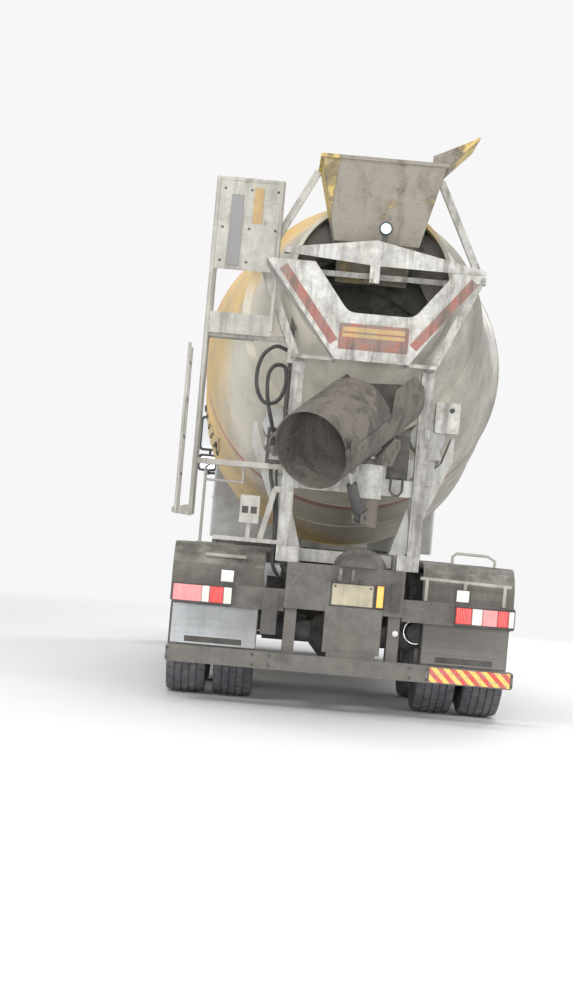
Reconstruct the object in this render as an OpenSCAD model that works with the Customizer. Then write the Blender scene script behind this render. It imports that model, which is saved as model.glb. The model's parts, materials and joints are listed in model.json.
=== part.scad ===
// Concrete mixer truck: a four-axle cab-over chassis with a mixing drum, a charging hopper,
// a collector and a folding discharge chute at the rear.
// X points right as seen from behind, Y forward, Z up. The origin is on the ground under the middle.

/* [Axles] */
// Distance from the front face to the first axle
front_overhang = 1400; // [1300:10:1500]
// Distance from the first to the second axle
axle_gap_12 = 1950; // [1850:10:2050]
// Distance from the second to the third axle
axle_gap_23 = 2750; // [2650:10:3000]
// Distance from the third to the fourth axle
axle_gap_34 = 1350; // [1320:10:1400]
// Distance between the centres of the front tyres
front_track = 2080; // [2040:10:2120]
// Distance between the king pins of a steered axle
king_pin_track = 1820; // [1780:10:1840]
// Distance between the outer faces of the rear tyres
rear_width = 2500; // [2460:10:2550]
// Distance between the centres of twin tyres
twin_gap = 350; // [335:5:370]

/* [Wheels] */
// Outer diameter of a tyre
tyre_d = 1060; // [1000:10:1080]
// Width of a tyre
tyre_w = 300; // [270:5:315]
// Diameter of the rim's seat for the tyre
rim_d = 572; // [540:4:600]
// Width of the rim
rim_w = 230; // [210:10:250]
// Radius of a steered wheel's spindle
front_spindle_r = 40; // [32:1:50]
// Radius of a driven wheel's spindle
rear_spindle_r = 60; // [50:1:70]
// Radius of a king pin
king_pin_r = 26; // [20:1:32]
// Radial clearance of shafts in their bores
fit = 0.05; // [0.02:0.01:0.1]

/* [Chassis] */
// Height of the chassis rails' top
rail_top = 1050; // [1040:5:1070]
// Height of a chassis rail
rail_h = 290; // [250:10:320]
// Width of a chassis rail's flange
rail_w = 90; // [80:5:100]
// Thickness of a chassis rail
rail_t = 9; // [7:1:12]
// Distance over the outer faces of the rails
frame_w = 850; // [830:10:870]
// Distance from the last axle to the rails' rear end
rear_overhang = 850; // [800:10:900]
// Height of the mixer frame's longitudinal beams
subframe_h = 110; // [90:5:120]

/* [Drum] */
// Largest outer radius of the drum
drum_r = 1200; // [1150:5:1220]
// Length of the drum along its axis
drum_l = 5100; // [5000:10:5200]
// Slope of the drum's axis, rising to the rear
drum_tilt = 12; // [11:0.5:13]
// Thickness of the drum's wall
drum_t = 8; // [6:1:12]
// Outer radius of the drum's mouth
mouth_r = 560; // [540:5:580]
// Outer radius of the drum's running ring
ring_r = 920; // [900:5:940]
// Distance from the drum's front plate to the middle of the running ring
ring_at = 4100; // [4050:10:4150]
// Width of the running ring
ring_w = 110; // [90:5:130]
// Height of the drum's axis at the running ring
ring_z = 2920; // [2900:5:2960]
// Distance of the running ring in front of the last axle
ring_ahead = 100; // [60:10:140]
// Radius of a drum roller
roller_r = 130; // [115:5:145]
// Angle of each roller from the lowest point of the ring
roller_angle = 32; // [29:1:35]
// Height of a mixing blade
blade_h = 330; // [260:10:380]
// Thickness of a mixing blade
blade_t = 10; // [8:1:16]
// Number of turns of each mixing blade
blade_turns = 3.5; // [3:0.5:4]

/* [Cab] */
// Width of the cab
cab_w = 2300; // [2240:10:2360]
// Depth of the cab
cab_d = 2150; // [2100:10:2200]
// Height of the cab's roof
cab_top = 2960; // [2900:10:3000]
// Height of the cab's floor over the front wheels
cab_floor = 1190; // [1180:5:1220]
// Height of the cab's lower front edge
cab_low = 925; // [915:5:940]
// Thickness of the cab's walls and doors
cab_t = 50; // [40:5:60]
// Thickness of the glass
glass_t = 6; // [4:1:8]
// Gap between a door and the cab
door_gap = 7; // [6:1:10]

/* [Hopper and collector] */
// Height of the hopper's upper rim
hopper_top = 3890; // [3850:10:3950]
// Width of the hopper's upper rim
hopper_w = 870; // [820:10:920]
// Width of the hopper's throat
throat_w = 600; // [540:10:640]
// Height of the collector's upper rim
collector_top = 3150; // [3100:10:3200]
// Height of the collector's lower rim
collector_low = 2490; // [2485:1:2500]
// Width of the collector's upper rim
collector_w = 1520; // [1440:10:1560]
// Width of the collector's lower rim
spout_w = 520; // [460:10:540]
// Thickness of the hopper's and collector's plates
plate_t = 10; // [6:1:12]

/* [Chute] */
// Distance of the chute's swing axis behind the last axle
chute_back = 1080; // [1060:10:1100]
// Distance of the chute's swing axis to the right of the middle
chute_x = 100; // [60:10:120]
// Inner radius of the chute's trough
trough_r = 270; // [240:5:285]
// Length of the trough from its hinge to its lower end
trough_l = 950; // [900:10:1000]
// Length of the folding extension
ext_l = 640; // [560:10:660]
// Slope of the chute at rest
chute_slope = 27; // [24:1:30]
// Angle of the chute at rest to the left of straight back
chute_swing = 32; // [20:1:40]
// Thickness of the chute's plates
chute_t = 8; // [6:1:10]
// Height of the chute's hinge pin
chute_pin_z = 1935; // [1920:5:1940]

/* [Platform and ladder] */
// Height of the service platform
platform_z = 2700; // [2650:10:2750]
// Height of the platform's guard rail
guard_top = 3750; // [3700:10:3800]
// Distance of the ladder from the middle
ladder_x = 1150; // [1130:5:1160]
// Radius of the ladder's and guard's tubes
tube_r = 17; // [14:1:20]
// Height of the ladder's folding joint
ladder_joint_z = 1350; // [1330:10:1400]
// Length of the ladder's folding section
ladder_fold_l = 1200; // [1100:10:1230]

/* [Hidden] */
$fn = 48;

// Steps of a round corner in an outline
corner_steps = 4;
// Clearance between flat or round faces of pieces that are seated on each other
seat = 0.3;

// Chute: the hinge pin lies ahead of the swing axis, and the trough's rim and back end are measured
// from the pin
pin_ahead = 150;
pin_rim = 340;
trough_back = 200;
wall_h = 150;

fold_gap = 6;
fold_pin_r = 12;
fold_pin_l = 60;

// Places along the truck, worked out from the axles and the chute's reach. The rearmost point is
// the end of the folding hinge's pin or the lower edge of the trough.
tip_back = trough_l * cos(chute_slope) + pin_rim * sin(chute_slope) - pin_ahead;
edge_reach = tip_back * cos(chute_swing)
  + (trough_r + chute_t) * sqrt(pow(sin(chute_slope) * cos(chute_swing), 2) + pow(sin(chute_swing), 2));
hinge_reach = (tip_back + fold_gap / 2 * sin(chute_slope) + fold_pin_r) * cos(chute_swing)
  + (trough_r + chute_t + fold_pin_l) * sin(chute_swing);
tip_reach = max(edge_reach, hinge_reach);
tail_reach = chute_back + tip_reach;
truck_l = front_overhang + axle_gap_12 + axle_gap_23 + axle_gap_34 + tail_reach;
front_y = truck_l / 2;
axle_1 = front_y - front_overhang;
axle_2 = axle_1 - axle_gap_12;
axle_3 = axle_2 - axle_gap_23;
axle_4 = axle_3 - axle_gap_34;
frame_end = axle_4 - rear_overhang;
axle_z = tyre_d / 2;
tyre_r = tyre_d / 2;
outer_twin_x = rear_width / 2 - tyre_w / 2;
inner_twin_x = outer_twin_x - twin_gap;
sub_top = rail_top + subframe_h;
rail_low = rail_top - rail_h;
beam_x = frame_w / 2 - rail_w / 2;
beam_out = beam_x + 40;

// Drum: distance from the front plate and outer radius of each section
drum_table = [
  // at, radius
  [0, 250],
  [150, 850],
  [1500, drum_r],
  [3000, drum_r],
  [ring_at, ring_r - 40],
  [drum_l, mouth_r]];
hatch_at = 2050;
hatch_l = 460;
hatch_w = 400;
hatch_h = 12;
hatch_angle = 200;
ring_y = axle_4 + ring_ahead;
drum_front = [0, ring_y + ring_at * cos(drum_tilt), ring_z - ring_at * sin(drum_tilt)];
stub_r = 100;
stub_l = 120;
drive_gap = 6;
gearbox_r = 260;

// Tow couplings: two ears with a bore through both
tow_pin_r = 20;
tow_eye_r = 50;
tow_half = 57.5;
tow_t = 25;
tow_rear_y = frame_end - 75;
tow_rear_z = rail_top - 65;
tow_front_y = front_y - 90;
tow_front_z = 677.5;

// Cab outline
cab_back = front_y - cab_d;
belt_z = 1830;
screen_top = 2700;
arch_front = axle_1 + 640;
door_back = front_y - 1290;
door_front = front_y - 330;
door_low = 1000;
door_top = 2760;
tilt_pin = [front_y - 90, 900];
tilt_pin_r = 20;
tilt_ear_x = 345;
tunnel_x = 460;
tunnel_front = front_y - 150;
hinge_x = cab_w / 2 + 16;
hinge_pin_r = 6;
hinge_table = [1250, 1650];
glass_depth = 18;
grille_depth = 12;
grille_table = [for (k = [0:5]) 1040 + 105 * k];
bar_h = 60;

// Chute: its other places
chute_y = axle_4 - chute_back;
pin_r = 22;
swing_r = 45;
bearing_low = 1540;
bearing_top = 1780;
lift_eye = [-520, 26];
lift_base = [-110, 1400];
lift_pin_r = 13;
lift_play = 5;

// Shared helpers
function reversed(list) = [for (i = [len(list) - 1:-1:0]) list[i]];

// Outline with round corners: each row gives x, y and the corner's radius
function rounded(rows) = [for (i = [0:len(rows) - 1]) each corner_points(
  rows[(i + len(rows) - 1) % len(rows)], rows[i], rows[(i + 1) % len(rows)])];
function flat(p) = [p[0], p[1]];
function unit(v) = v / norm(v);
function corner_points(a, b, c) = let (
    u = unit(flat(a) - flat(b)),
    w = unit(flat(c) - flat(b)),
    half = acos(max(-1, min(1, u * w))) / 2,
    r = b[2],
    centre = flat(b) + unit(u + w) * r / sin(half),
    from = flat(b) + u * r / tan(half) - centre,
    turn = 180 - 2 * half,
    side = u[0] * w[1] - u[1] * w[0] > 0 ? -1 : 1)
  r < 1 ? [flat(b)] : [for (k = [0:corner_steps]) let (t = side * turn * k / corner_steps)
    centre + [from[0] * cos(t) - from[1] * sin(t), from[0] * sin(t) + from[1] * cos(t)]];

module both_sides() {
  children();
  mirror([1, 0, 0]) children();
}

// Outline in Y and Z, carried along X
module across(x0, x1) {
  translate([x0, 0, 0]) rotate([90, 0, 90]) linear_extrude(x1 - x0) children();
}

// Outline in X and Z, carried along Y
module along(y0, y1) {
  translate([0, y1, 0]) rotate([90, 0, 0]) linear_extrude(y1 - y0) children();
}

module block(low, high) {
  translate(low) cube(high - low);
}

// Round bar between two points
module rod(a, b, r) {
  v = b - a;
  translate(a) rotate([0, acos(v[2] / norm(v)), atan2(v[1], v[0])]) cylinder(r = r, h = norm(v));
}

// Round tube along a row of points, with round corners
module tube_run(points, r) {
  for (i = [0:len(points) - 2]) rod(points[i], points[i + 1], r);
  for (i = [1:len(points) - 2]) translate(points[i]) sphere(r = r);
}

// Square bar between two points
module beam(a, b, w, t) {
  v = b - a;
  translate(a) rotate([0, acos(v[2] / norm(v)), atan2(v[1], v[0])])
    translate([-t / 2, -w / 2, 0]) cube([t, w, norm(v)]);
}

// Solid with a rectangle at each of two heights: [x0, y0, x1, y1, z]
module frustum(low, high) {
  function ring4(q) = [[q[0], q[1], q[4]], [q[2], q[1], q[4]], [q[2], q[3], q[4]], [q[0], q[3], q[4]]];
  polyhedron(concat(ring4(low), ring4(high)), [[0, 1, 2, 3], [7, 6, 5, 4],
    [1, 0, 4, 5], [2, 1, 5, 6], [3, 2, 6, 7], [0, 3, 7, 4]]);
}

// Rectangle grown on all sides and moved to another height
function grown(q, by, dz) = [q[0] - by, q[1] - by, q[2] + by, q[3] + by, q[4] + dz];

// Frames of reference
module drum_axis() {
  translate(drum_front) rotate([90 - drum_tilt, 0, 0]) children();
}
module swing_axis() {
  translate([chute_x, chute_y, 0]) rotate([0, 0, -chute_swing]) children();
}
module chute_axis() {
  swing_axis() translate([0, pin_ahead, chute_pin_z]) rotate([chute_slope, 0, 0]) children();
}

// Chassis rails and cross members
module chassis() {
  cross_table = [
    // distance from the last axle, height of the member
    [-rear_overhang + 60, 200],
    [675, 180],
    [2150, 160],
    [3500, 160],
    [5000, 90]];
  color("dimgray") {
    both_sides() difference() {
      block([frame_w / 2 - rail_w, frame_end, rail_top - rail_h], [frame_w / 2, front_y - 380, rail_top]);
      block([frame_w / 2 - rail_w - 1, frame_end - 1, rail_top - rail_h + rail_t],
        [frame_w / 2 - rail_t, front_y - 379, rail_top - rail_t]);
    }
    for (row = cross_table)
      along(axle_4 + row[0] - 50, axle_4 + row[0] + 50)
        translate([0, rail_top - rail_h / 2]) square([frame_w - 2 * rail_t + 2, row[1]], center = true);
    // Rear end plate with the two ears of the tow eye
    difference() {
      union() {
        block([-frame_w / 2, frame_end - 12, rail_top - rail_h - 40], [frame_w / 2, frame_end, rail_top]);
        for (x = [-tow_half, tow_half - tow_t]) {
          translate([x, tow_rear_y, tow_rear_z]) rotate([0, 90, 0]) cylinder(r = tow_eye_r, h = tow_t);
          block([x, tow_rear_y, tow_rear_z - tow_eye_r], [x + tow_t, frame_end - 5,
            tow_rear_z + tow_eye_r]);
        }
      }
      translate([-100, tow_rear_y, tow_rear_z]) rotate([0, 90, 0]) cylinder(r = tow_pin_r, h = 200);
    }
    // Round cover on the tail, under the chute's swing axis
    difference() {
      translate([chute_x, frame_end + 120, rail_top - 60]) sphere(r = 205);
      block([chute_x - 300, frame_end - 200, 0], [chute_x + 300, frame_end + 500, rail_top + seat]);
    }
    // Front brackets with the cab's tilt pins
    both_sides() {
      across(tilt_ear_x + 40, frame_w / 2 - rail_t + 1) polygon([[front_y - 520, rail_top - 30],
        [front_y - 380, rail_top - 240], [tilt_pin[0] + 5, tilt_pin[1] - 35],
          [tilt_pin[0] + 22, tilt_pin[1] - 22],
        [tilt_pin[0] + 22, tilt_pin[1]], [tilt_pin[0] + 8, tilt_pin[1] + 15],
          [tunnel_front - 10, tilt_pin[1] + 15], [front_y - 300, rail_top - 60],
            [front_y - 380, rail_top - 30]]);
      translate([tilt_ear_x - 10, tilt_pin[0], tilt_pin[1]]) rotate([0, 90, 0])
        cylinder(r = tilt_pin_r, h = frame_w / 2 - rail_t - tilt_ear_x + 11);
    }
  }
}

// Mixer frame on the rails, with the front pedestal that carries the drum's drive
module mixer_frame() {
  front_end = cab_back - 60;
  ped_y = drum_front[1] + 150;
  color("gainsboro") {
    both_sides() block([beam_x - 40, frame_end + 150, rail_top], [beam_x + 40, front_end, sub_top]);
    for (y = [frame_end + 450, axle_4 + 1400, axle_4 + 2700, front_end - 100])
      block([-beam_x, y - 40, rail_top + 10], [beam_x, y + 40, sub_top - 10]);
    difference() {
      union() {
        for (y = [ped_y - 90, ped_y + 70])
          along(y, y + 20) polygon([[-frame_w / 2, sub_top], [frame_w / 2, sub_top],
            [300, drum_front[2] - 60], [-300, drum_front[2] - 60]]);
        both_sides() along(ped_y - 90, ped_y + 90) polygon([[frame_w / 2 - 20, sub_top],
          [frame_w / 2, sub_top],
          [300, drum_front[2] - 60], [280, drum_front[2] - 60]]);
      }
      drum_axis() translate([0, 0, -600]) cylinder(r = gearbox_r + seat, h = 700);
      along(ped_y - 200, ped_y + 200) polygon(rounded([[-190, sub_top + 100, 40], [190, sub_top + 100, 40],
        [120, drum_front[2] - 400, 40], [-120, drum_front[2] - 400, 40]]));
    }
  }
}

// Rear pedestal: legs with the roller heads, posts for the collector and the chute's bearing
roller_dist = ring_r + roller_r + seat;
module roller_axis(side) {
  drum_axis() translate([side * roller_dist * sin(roller_angle), -roller_dist * cos(roller_angle), ring_at])
    children();
}
roller_x = roller_dist * sin(roller_angle);
roller_y = ring_y - roller_dist * cos(roller_angle) * sin(drum_tilt);
roller_z = ring_z - roller_dist * cos(roller_angle) * cos(drum_tilt);
post_x = 470;
post_y = frame_end + 90;
stay_x = collector_w / 2 + 25;
stay_low = collector_low - 30;
stay_top = collector_top + 20;
stay_w = 60;
// Outer face of a stay at a height
function stay_out(z) = let (run = (stay_x - post_x) / (stay_top - stay_low))
  post_x + (z - stay_low) * run + stay_w / 2 * norm([1, run]);
module rear_pedestal() {
  head_low = roller_z - roller_r - 220;
  head_top = roller_z - roller_r - 40;
  leg_in = frame_w / 2 - rail_w;
  color("whitesmoke") difference() {
    union() {
      both_sides() {
        // Leg, spreading from the frame to the roller
        along(roller_y - 100, roller_y + 100) polygon([[leg_in, sub_top], [leg_in + 120, sub_top],
          [roller_x + 200, head_top + 20], [roller_x + 200, roller_z + 20], [roller_x + 180, roller_z + 20],
          [roller_x + 120, head_top], [roller_x - 60, head_low]]);
        // Post with its foot and its brace
        block([post_x - 45, post_y - 45, sub_top - 60], [post_x + 45, post_y + 45, collector_low + 20]);
        block([leg_in + 20, post_y - 60, rail_top], [post_x + 45, post_y + 60, sub_top]);
        beam([post_x, post_y, 1700], [post_x, roller_y - 60, 1700], 60, 80);
        beam([post_x, post_y, 1260], [post_x, roller_y - 90, 1560], 50, 60);
        // Stay from the post out to the hopper's side
        beam([post_x, post_y, stay_low], [stay_x, post_y - 20, stay_top], stay_w, stay_w);
        block([stay_x - 40, post_y - 60, stay_top - 15], [stay_x + 40, post_y + 20, stay_top + 15]);
        // Head plates that hold a roller's shaft
        for (z = [-ring_w / 2 - 40, ring_w / 2 + 15]) roller_axis(1) translate([0, 0, z]) linear_extrude(25)
          polygon(rounded([[-55, 50, 20], [55, 50, 20], [110, -170, 4], [-110, -230, 4]]));
      }
      block([-roller_x - 60, roller_y - 150, head_low], [roller_x + 60, roller_y + 95, head_top]);
      // Cross members between the posts and the arm of the chute's bearing
      block([-post_x, post_y - 40, bearing_low + 40], [post_x, post_y + 40, bearing_low + 160]);
      block([chute_x - 90, chute_y, bearing_low + 50], [chute_x + 90, post_y, bearing_low + 150]);
      translate([chute_x, chute_y, bearing_low]) cylinder(r = 85, h = bearing_top - bearing_low);
    }
    translate([chute_x, chute_y, 0]) cylinder(r = swing_r + fit, h = 3000);
    for (side = [-1, 1]) roller_axis(side) translate([0, 0, -200]) cylinder(r = 35 + fit, h = 400);
  }
}

module roller(side) {
  color("silver") roller_axis(side) {
    translate([0, 0, -ring_w / 2]) cylinder(r = roller_r, h = ring_w);
    translate([0, 0, -ring_w / 2 - 55]) cylinder(r = 35, h = ring_w + 110);
  }
}
module roller_left() { roller(-1); }
module roller_right() { roller(1); }

// Gearbox and hydraulic motor of the drum
module drum_drive() {
  color("slategray") drum_axis() difference() {
    union() {
      translate([0, 0, -130]) cylinder(r = gearbox_r, h = 130 - drive_gap);
      translate([0, 0, -330]) cylinder(r = 190, h = 210);
      translate([0, 0, -430]) cylinder(r = 120, h = 110);
      block([-80, -80, -560], [80, 80, -420]);
    }
    translate([0, 0, -stub_l - 10]) cylinder(r = stub_r + fit, h = stub_l + 20);
  }
}

// Drum shell with its running ring and mouth ring
module drum_shell() {
  ring_low = ring_at - ring_w / 2;
  color("antiquewhite") drum_axis() {
    rotate_extrude($fn = 96) polygon(concat(
      [[0, 0]], [for (row = drum_table) [row[1], row[0]]],
      [for (row = reversed(drum_table)) [row[1] - drum_t, row[0] == 0 ? drum_t : row[0]]],
      [[0, drum_t]]));
    rotate_extrude($fn = 96) polygon([[drum_radius(ring_low) - 2, ring_low], [ring_r, ring_low],
      [ring_r, ring_low + ring_w], [drum_radius(ring_low + ring_w) - 2, ring_low + ring_w]]);
    rotate_extrude($fn = 96) translate([mouth_r - 2, drum_l - 60]) square([24, 60]);
    translate([0, 0, -stub_l]) cylinder(r = stub_r, h = stub_l + drum_t);
    // Service hatch, a raised plate on the widest part
    intersection() {
      translate([0, 0, hatch_at]) rotate_extrude($fn = 96) translate([drum_r - 2,
        0]) square([hatch_h + 2, hatch_l]);
      rotate([0, 0, hatch_angle]) block([drum_r / 2, -hatch_w / 2, hatch_at - 1], [drum_r + 50, hatch_w / 2,
        hatch_at + hatch_l + 1]);
    }
  }
}

// Two spiral blades that follow the shell's inside
function drum_radius(at, i = 1) = at <= drum_table[i][0] || i == len(drum_table) - 1
  ? drum_table[i - 1][1] + (at - drum_table[i - 1][0])
    * (drum_table[i][1] - drum_table[i - 1][1]) / (drum_table[i][0] - drum_table[i - 1][0])
  : drum_radius(at, i + 1);
module blade(start) {
  blade_from = 260;
  blade_to = drum_l - 420;
  steps = ceil(blade_turns * 20);
  points = [for (i = [0:steps]) let (
      at = blade_from + (blade_to - blade_from) * i / steps,
      a = start + 360 * blade_turns * i / steps,
      out = min(drum_radius(at), drum_radius(at + blade_t)) - drum_t - 0.9,
      in = out - blade_h * min(1, 0.5 + i / 8, 0.5 + (steps - i) / 12))
    each [[out * cos(a), out * sin(a), at], [out * cos(a), out * sin(a), at + blade_t],
      [in * cos(a), in * sin(a), at + blade_t], [in * cos(a), in * sin(a), at]]];
  faces = concat([[3, 2, 1, 0]],
    [for (i = [0:steps - 1], k = [0:3]) [4 * i + k, 4 * i + (k + 1) % 4, 4 * i + 4 + (k + 1) % 4]],
    [for (i = [0:steps - 1], k = [0:3]) [4 * i + k, 4 * i + 4 + (k + 1) % 4, 4 * i + 4 + k]],
    [[4 * steps, 4 * steps + 1, 4 * steps + 2, 4 * steps + 3]]);
  polyhedron(points, faces);
}
module drum_blades() {
  color("rosybrown") drum_axis() for (start = [0, 180]) blade(start);
}

// Engine and gearbox as plain closed masses
gearbox_back = axle_1 - 950;
module engine() {
  color("gray") {
    block([-310, axle_1 - 250, rail_top - rail_h - 110], [310, front_y - 480, cab_floor - 50]);
    block([-200, gearbox_back, rail_low], [200, axle_1 - 249, rail_top - 10]);
    // Mounts on the rails' lower flanges
    both_sides() for (y = [axle_1 - 100, axle_1 + 600])
      block([309, y - 60, rail_low + rail_t + seat], [frame_w / 2 - rail_t - 10, y + 60, rail_low + 90]);
  }
}

// Steered axle beams with their bosses
module front_axles() {
  half = king_pin_track / 2;
  color("darkslategray") for (y = [axle_1, axle_2]) difference() {
    union() {
      along(y - 45, y + 45) polygon([[-half, axle_z - 45], [-half + 130, axle_z - 50],
        [-half + 300, axle_z - 130],
        [half - 300, axle_z - 130], [half - 130, axle_z - 50], [half, axle_z - 45],
        [half, axle_z + 45], [half - 150, axle_z + 40], [half - 320, axle_z - 40],
        [-half + 320, axle_z - 40], [-half + 150, axle_z + 40], [-half, axle_z + 45]]);
      for (x = [-half, half]) translate([x, y, axle_z - 70]) cylinder(r = 58, h = 140);
    }
    for (x = [-half, half]) translate([x, y, axle_z - 100]) cylinder(r = king_pin_r + fit, h = 200);
  }
}

// Knuckle: fork over the axle's boss, king pin and spindle
knuckle_gap = 2;
module knuckle(side, y) {
  x = king_pin_track / 2;
  spindle_end = front_track / 2 + 60;
  color("silver") scale([side, 1, 1]) translate([0, y, axle_z]) {
    translate([x, 0, -110]) cylinder(r = king_pin_r, h = 220);
    for (z = [-110, 70 + knuckle_gap]) translate([x, 0, z]) cylinder(r = 60, h = 40 - knuckle_gap);
    for (z = [-110, 70 + knuckle_gap]) block([x, -55, z], [x + 95, 55, z + 40 - knuckle_gap]);
    block([x + 65, -55, -110], [x + 95, 55, 110]);
    translate([x + 80, 0, 0]) rotate([0, 90, 0]) cylinder(r = front_spindle_r, h = spindle_end - x - 80);
    // Steering arm
    block([x - 20, -200, 70 + knuckle_gap], [x + 30, -40, 110]);
  }
}
module knuckle_1_left() { knuckle(-1, axle_1); }
module knuckle_1_right() { knuckle(1, axle_1); }
module knuckle_2_left() { knuckle(-1, axle_2); }
module knuckle_2_right() { knuckle(1, axle_2); }

// Driven axle casings with their spindles, and the propeller shafts
casing_r = 82;
module rear_axles() {
  spindle_end = outer_twin_x - 20;
  color("darkslategray") {
    for (y = [axle_3, axle_4]) translate([0, y, axle_z]) {
      rotate([0, 90, 0]) translate([0, 0, -560]) cylinder(r = casing_r, h = 1120);
      rotate([0, 90, 0]) translate([0, 0, -spindle_end]) cylinder(r = rear_spindle_r, h = 2 * spindle_end);
      rotate([0, 90, 0]) rotate_extrude() polygon([[0, -210], [90, -200], [190, -110], [215, 0],
        [190, 110], [90, 200], [0, 210]]);
      rotate([-90, 0, 0]) cylinder(r = 95, h = 300);
    }
    rod([0, axle_4 + 290, axle_z], [0, axle_3 - 200, axle_z + 20], 45);
    rod([0, axle_3 + 290, axle_z], [0, gearbox_back - 5, rail_low + 40], 50);
  }
}

// Leaf springs with their seats and hangers
module leaf_pack(l, leaves) {
  rise = 90;
  for (k = [0:leaves - 1]) let (half = l / 2 * (1 - 0.2 * k), low = -14 * k)
    across(-40, 40) polygon([[-half, rise * pow(half * 2 / l, 2) + low],
      [-half / 2, rise * pow(half / l, 2) + low],
      [0, low], [half / 2, rise * pow(half / l, 2) + low], [half, rise * pow(half * 2 / l, 2) + low],
      [half, rise * pow(half * 2 / l, 2) + low - 14], [half / 2, rise * pow(half / l, 2) + low - 14.5],
      [0, low - 15], [-half / 2, rise * pow(half / l, 2) + low - 14.5],
      [-half, rise * pow(half * 2 / l, 2) + low - 14]]);
}
module springs() {
  spring_x = 430;
  seat_z = axle_z - 40;
  color("dimgray") both_sides() {
    for (y = [axle_1, axle_2]) {
      translate([spring_x, y, seat_z + 100]) leaf_pack(1300, 4);
      block([spring_x - 55, y - 70, seat_z + seat], [spring_x + 55, y + 70, seat_z + 50]);
      for (end = [-1, 1]) {
        hanger_y = y + end * 640;
        across(frame_w / 2 + seat, spring_x + 36) polygon([[hanger_y - 20, seat_z + 160],
          [hanger_y + 20, seat_z + 160],
          [hanger_y + 45, rail_low + 20], [hanger_y + 45, rail_low + 130], [hanger_y - 45, rail_low + 130],
          [hanger_y - 45, rail_low + 20]]);
      }
    }
    translate([spring_x + 60, (axle_3 + axle_4) / 2, axle_z + 120]) leaf_pack(1330, 5);
    across(frame_w / 2 + seat, spring_x + 120) polygon([
      [(axle_3 + axle_4) / 2 - 140, rail_low + 150], [(axle_3 + axle_4) / 2 - 90, axle_z + 50],
      [(axle_3 + axle_4) / 2 + 90, axle_z + 50], [(axle_3 + axle_4) / 2 + 140, rail_low + 150]]);
    for (y = [axle_3, axle_4])
      block([spring_x + 10, y - 70, axle_z + casing_r + seat], [spring_x + 110, y + 70, axle_z + 205]);
  }
}

// Tyre: round shoulders and sidewalls round the rim's seat; the axis is X
module tyre_ring() {
  half = tyre_w / 2;
  rim_half = rim_w / 2;
  rotate([0, 90, 0]) rotate_extrude($fn = 72) polygon(rounded([
    [rim_d / 2, -rim_half + 12, 0], [rim_d / 2 + 26, -rim_half + 4, 0],
      [rim_d / 2 + 60, -rim_half - 10, 20],
    [(tyre_r + rim_d / 2) / 2, -half, 60],
    [tyre_r - 14, -half + 12, 24], [tyre_r, -half + 90, 60], [tyre_r, half - 90, 60],
    [tyre_r - 14, half - 12, 24], [(tyre_r + rim_d / 2) / 2, half, 60], [rim_d / 2 + 60, rim_half + 10, 20],
    [rim_d / 2 + 26, rim_half - 4, 0], [rim_d / 2, rim_half - 12, 0]]));
}

// Rim: barrel and a dished disc with hand holes. The disc's face lies at dish along the axis.
hand_holes = 10;
module rim_barrel(dish) {
  seat_r = rim_d / 2 - seat;
  half = rim_w / 2;
  rotate([0, 90, 0]) difference() {
    union() {
      rotate_extrude($fn = 72) polygon([[seat_r, -half + 10], [seat_r, half - 10], [seat_r + 22, half - 2],
        [seat_r + 22, half + 8], [seat_r - 10, half + 8], [seat_r - 22, half - 22], [seat_r - 30, 0],
        [seat_r - 22, -half + 22], [seat_r - 10, -half - 8], [seat_r + 22, -half - 8],
          [seat_r + 22, -half + 2]]);
      rotate_extrude($fn = 72) polygon([[100, dish - 14], [175, dish - 14],
        [seat_r - 16, dish - 40 * sign(dish) - 14],
        [seat_r - 16, dish - 40 * sign(dish)], [175, dish], [100, dish]]);
    }
    for (k = [0:hand_holes - 1]) rotate([0, 0, 360 * k / hand_holes]) translate([215, 0, dish - 100])
      cylinder(r = 24, h = 200);
  }
}

// Hub with its bore for the spindle, from x0 to x1, closed at the outer end
module hub(x0, x1, bore_r, bore_end) {
  rotate([0, 90, 0]) difference() {
    union() {
      translate([0, 0, x0]) cylinder(r = 120, h = x1 - x0 - 60);
      translate([0, 0, x1 - 61]) cylinder(r1 = 105, r2 = 70, h = 61);
    }
    translate([0, 0, x0 - 1]) cylinder(r = bore_r, h = bore_end - x0 + 1);
  }
}
module brake_drum(x0, x1) {
  rotate([0, 90, 0]) difference() {
    translate([0, 0, x0]) cylinder(r = 215, h = x1 - x0);
    translate([0, 0, x0 - 1]) cylinder(r = 195, h = x1 - x0 - 19);
    translate([0, 0, x0 - 1]) cylinder(r = 100, h = x1 - x0 + 2);
  }
}
module front_rim(side, y) {
  x = front_track / 2;
  color("gainsboro") scale([side, 1, 1]) translate([0, y, axle_z]) {
    translate([x, 0, 0]) rim_barrel(rim_w / 2 - 30);
    hub(x - 25, x + 190, front_spindle_r + fit, x + 65);
    brake_drum(x - 20, x + rim_w / 2 - 43);
  }
}
module rear_rim(side, y) {
  color("gainsboro") scale([side, 1, 1]) translate([0, y, axle_z]) {
    translate([inner_twin_x, 0, 0]) rim_barrel(rim_w / 2 + 6);
    translate([outer_twin_x, 0, 0]) rim_barrel(-rim_w / 2 - 6);
    hub(inner_twin_x - 60, outer_twin_x + 60, rear_spindle_r + fit, outer_twin_x - 15);
    brake_drum(inner_twin_x - 50, inner_twin_x + rim_w / 2 - 6);
  }
}
module front_tyre(side, y) {
  color("darkslategray") translate([side * front_track / 2, y, axle_z]) tyre_ring();
}
module rear_tyre(side, y) {
  color("darkslategray") for (x = [inner_twin_x, outer_twin_x])
    translate([side * x, y, axle_z]) tyre_ring();
}
module rim_1_left() { front_rim(-1, axle_1); }
module rim_1_right() { front_rim(1, axle_1); }
module rim_2_left() { front_rim(-1, axle_2); }
module rim_2_right() { front_rim(1, axle_2); }
module rim_3_left() { rear_rim(-1, axle_3); }
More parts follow.
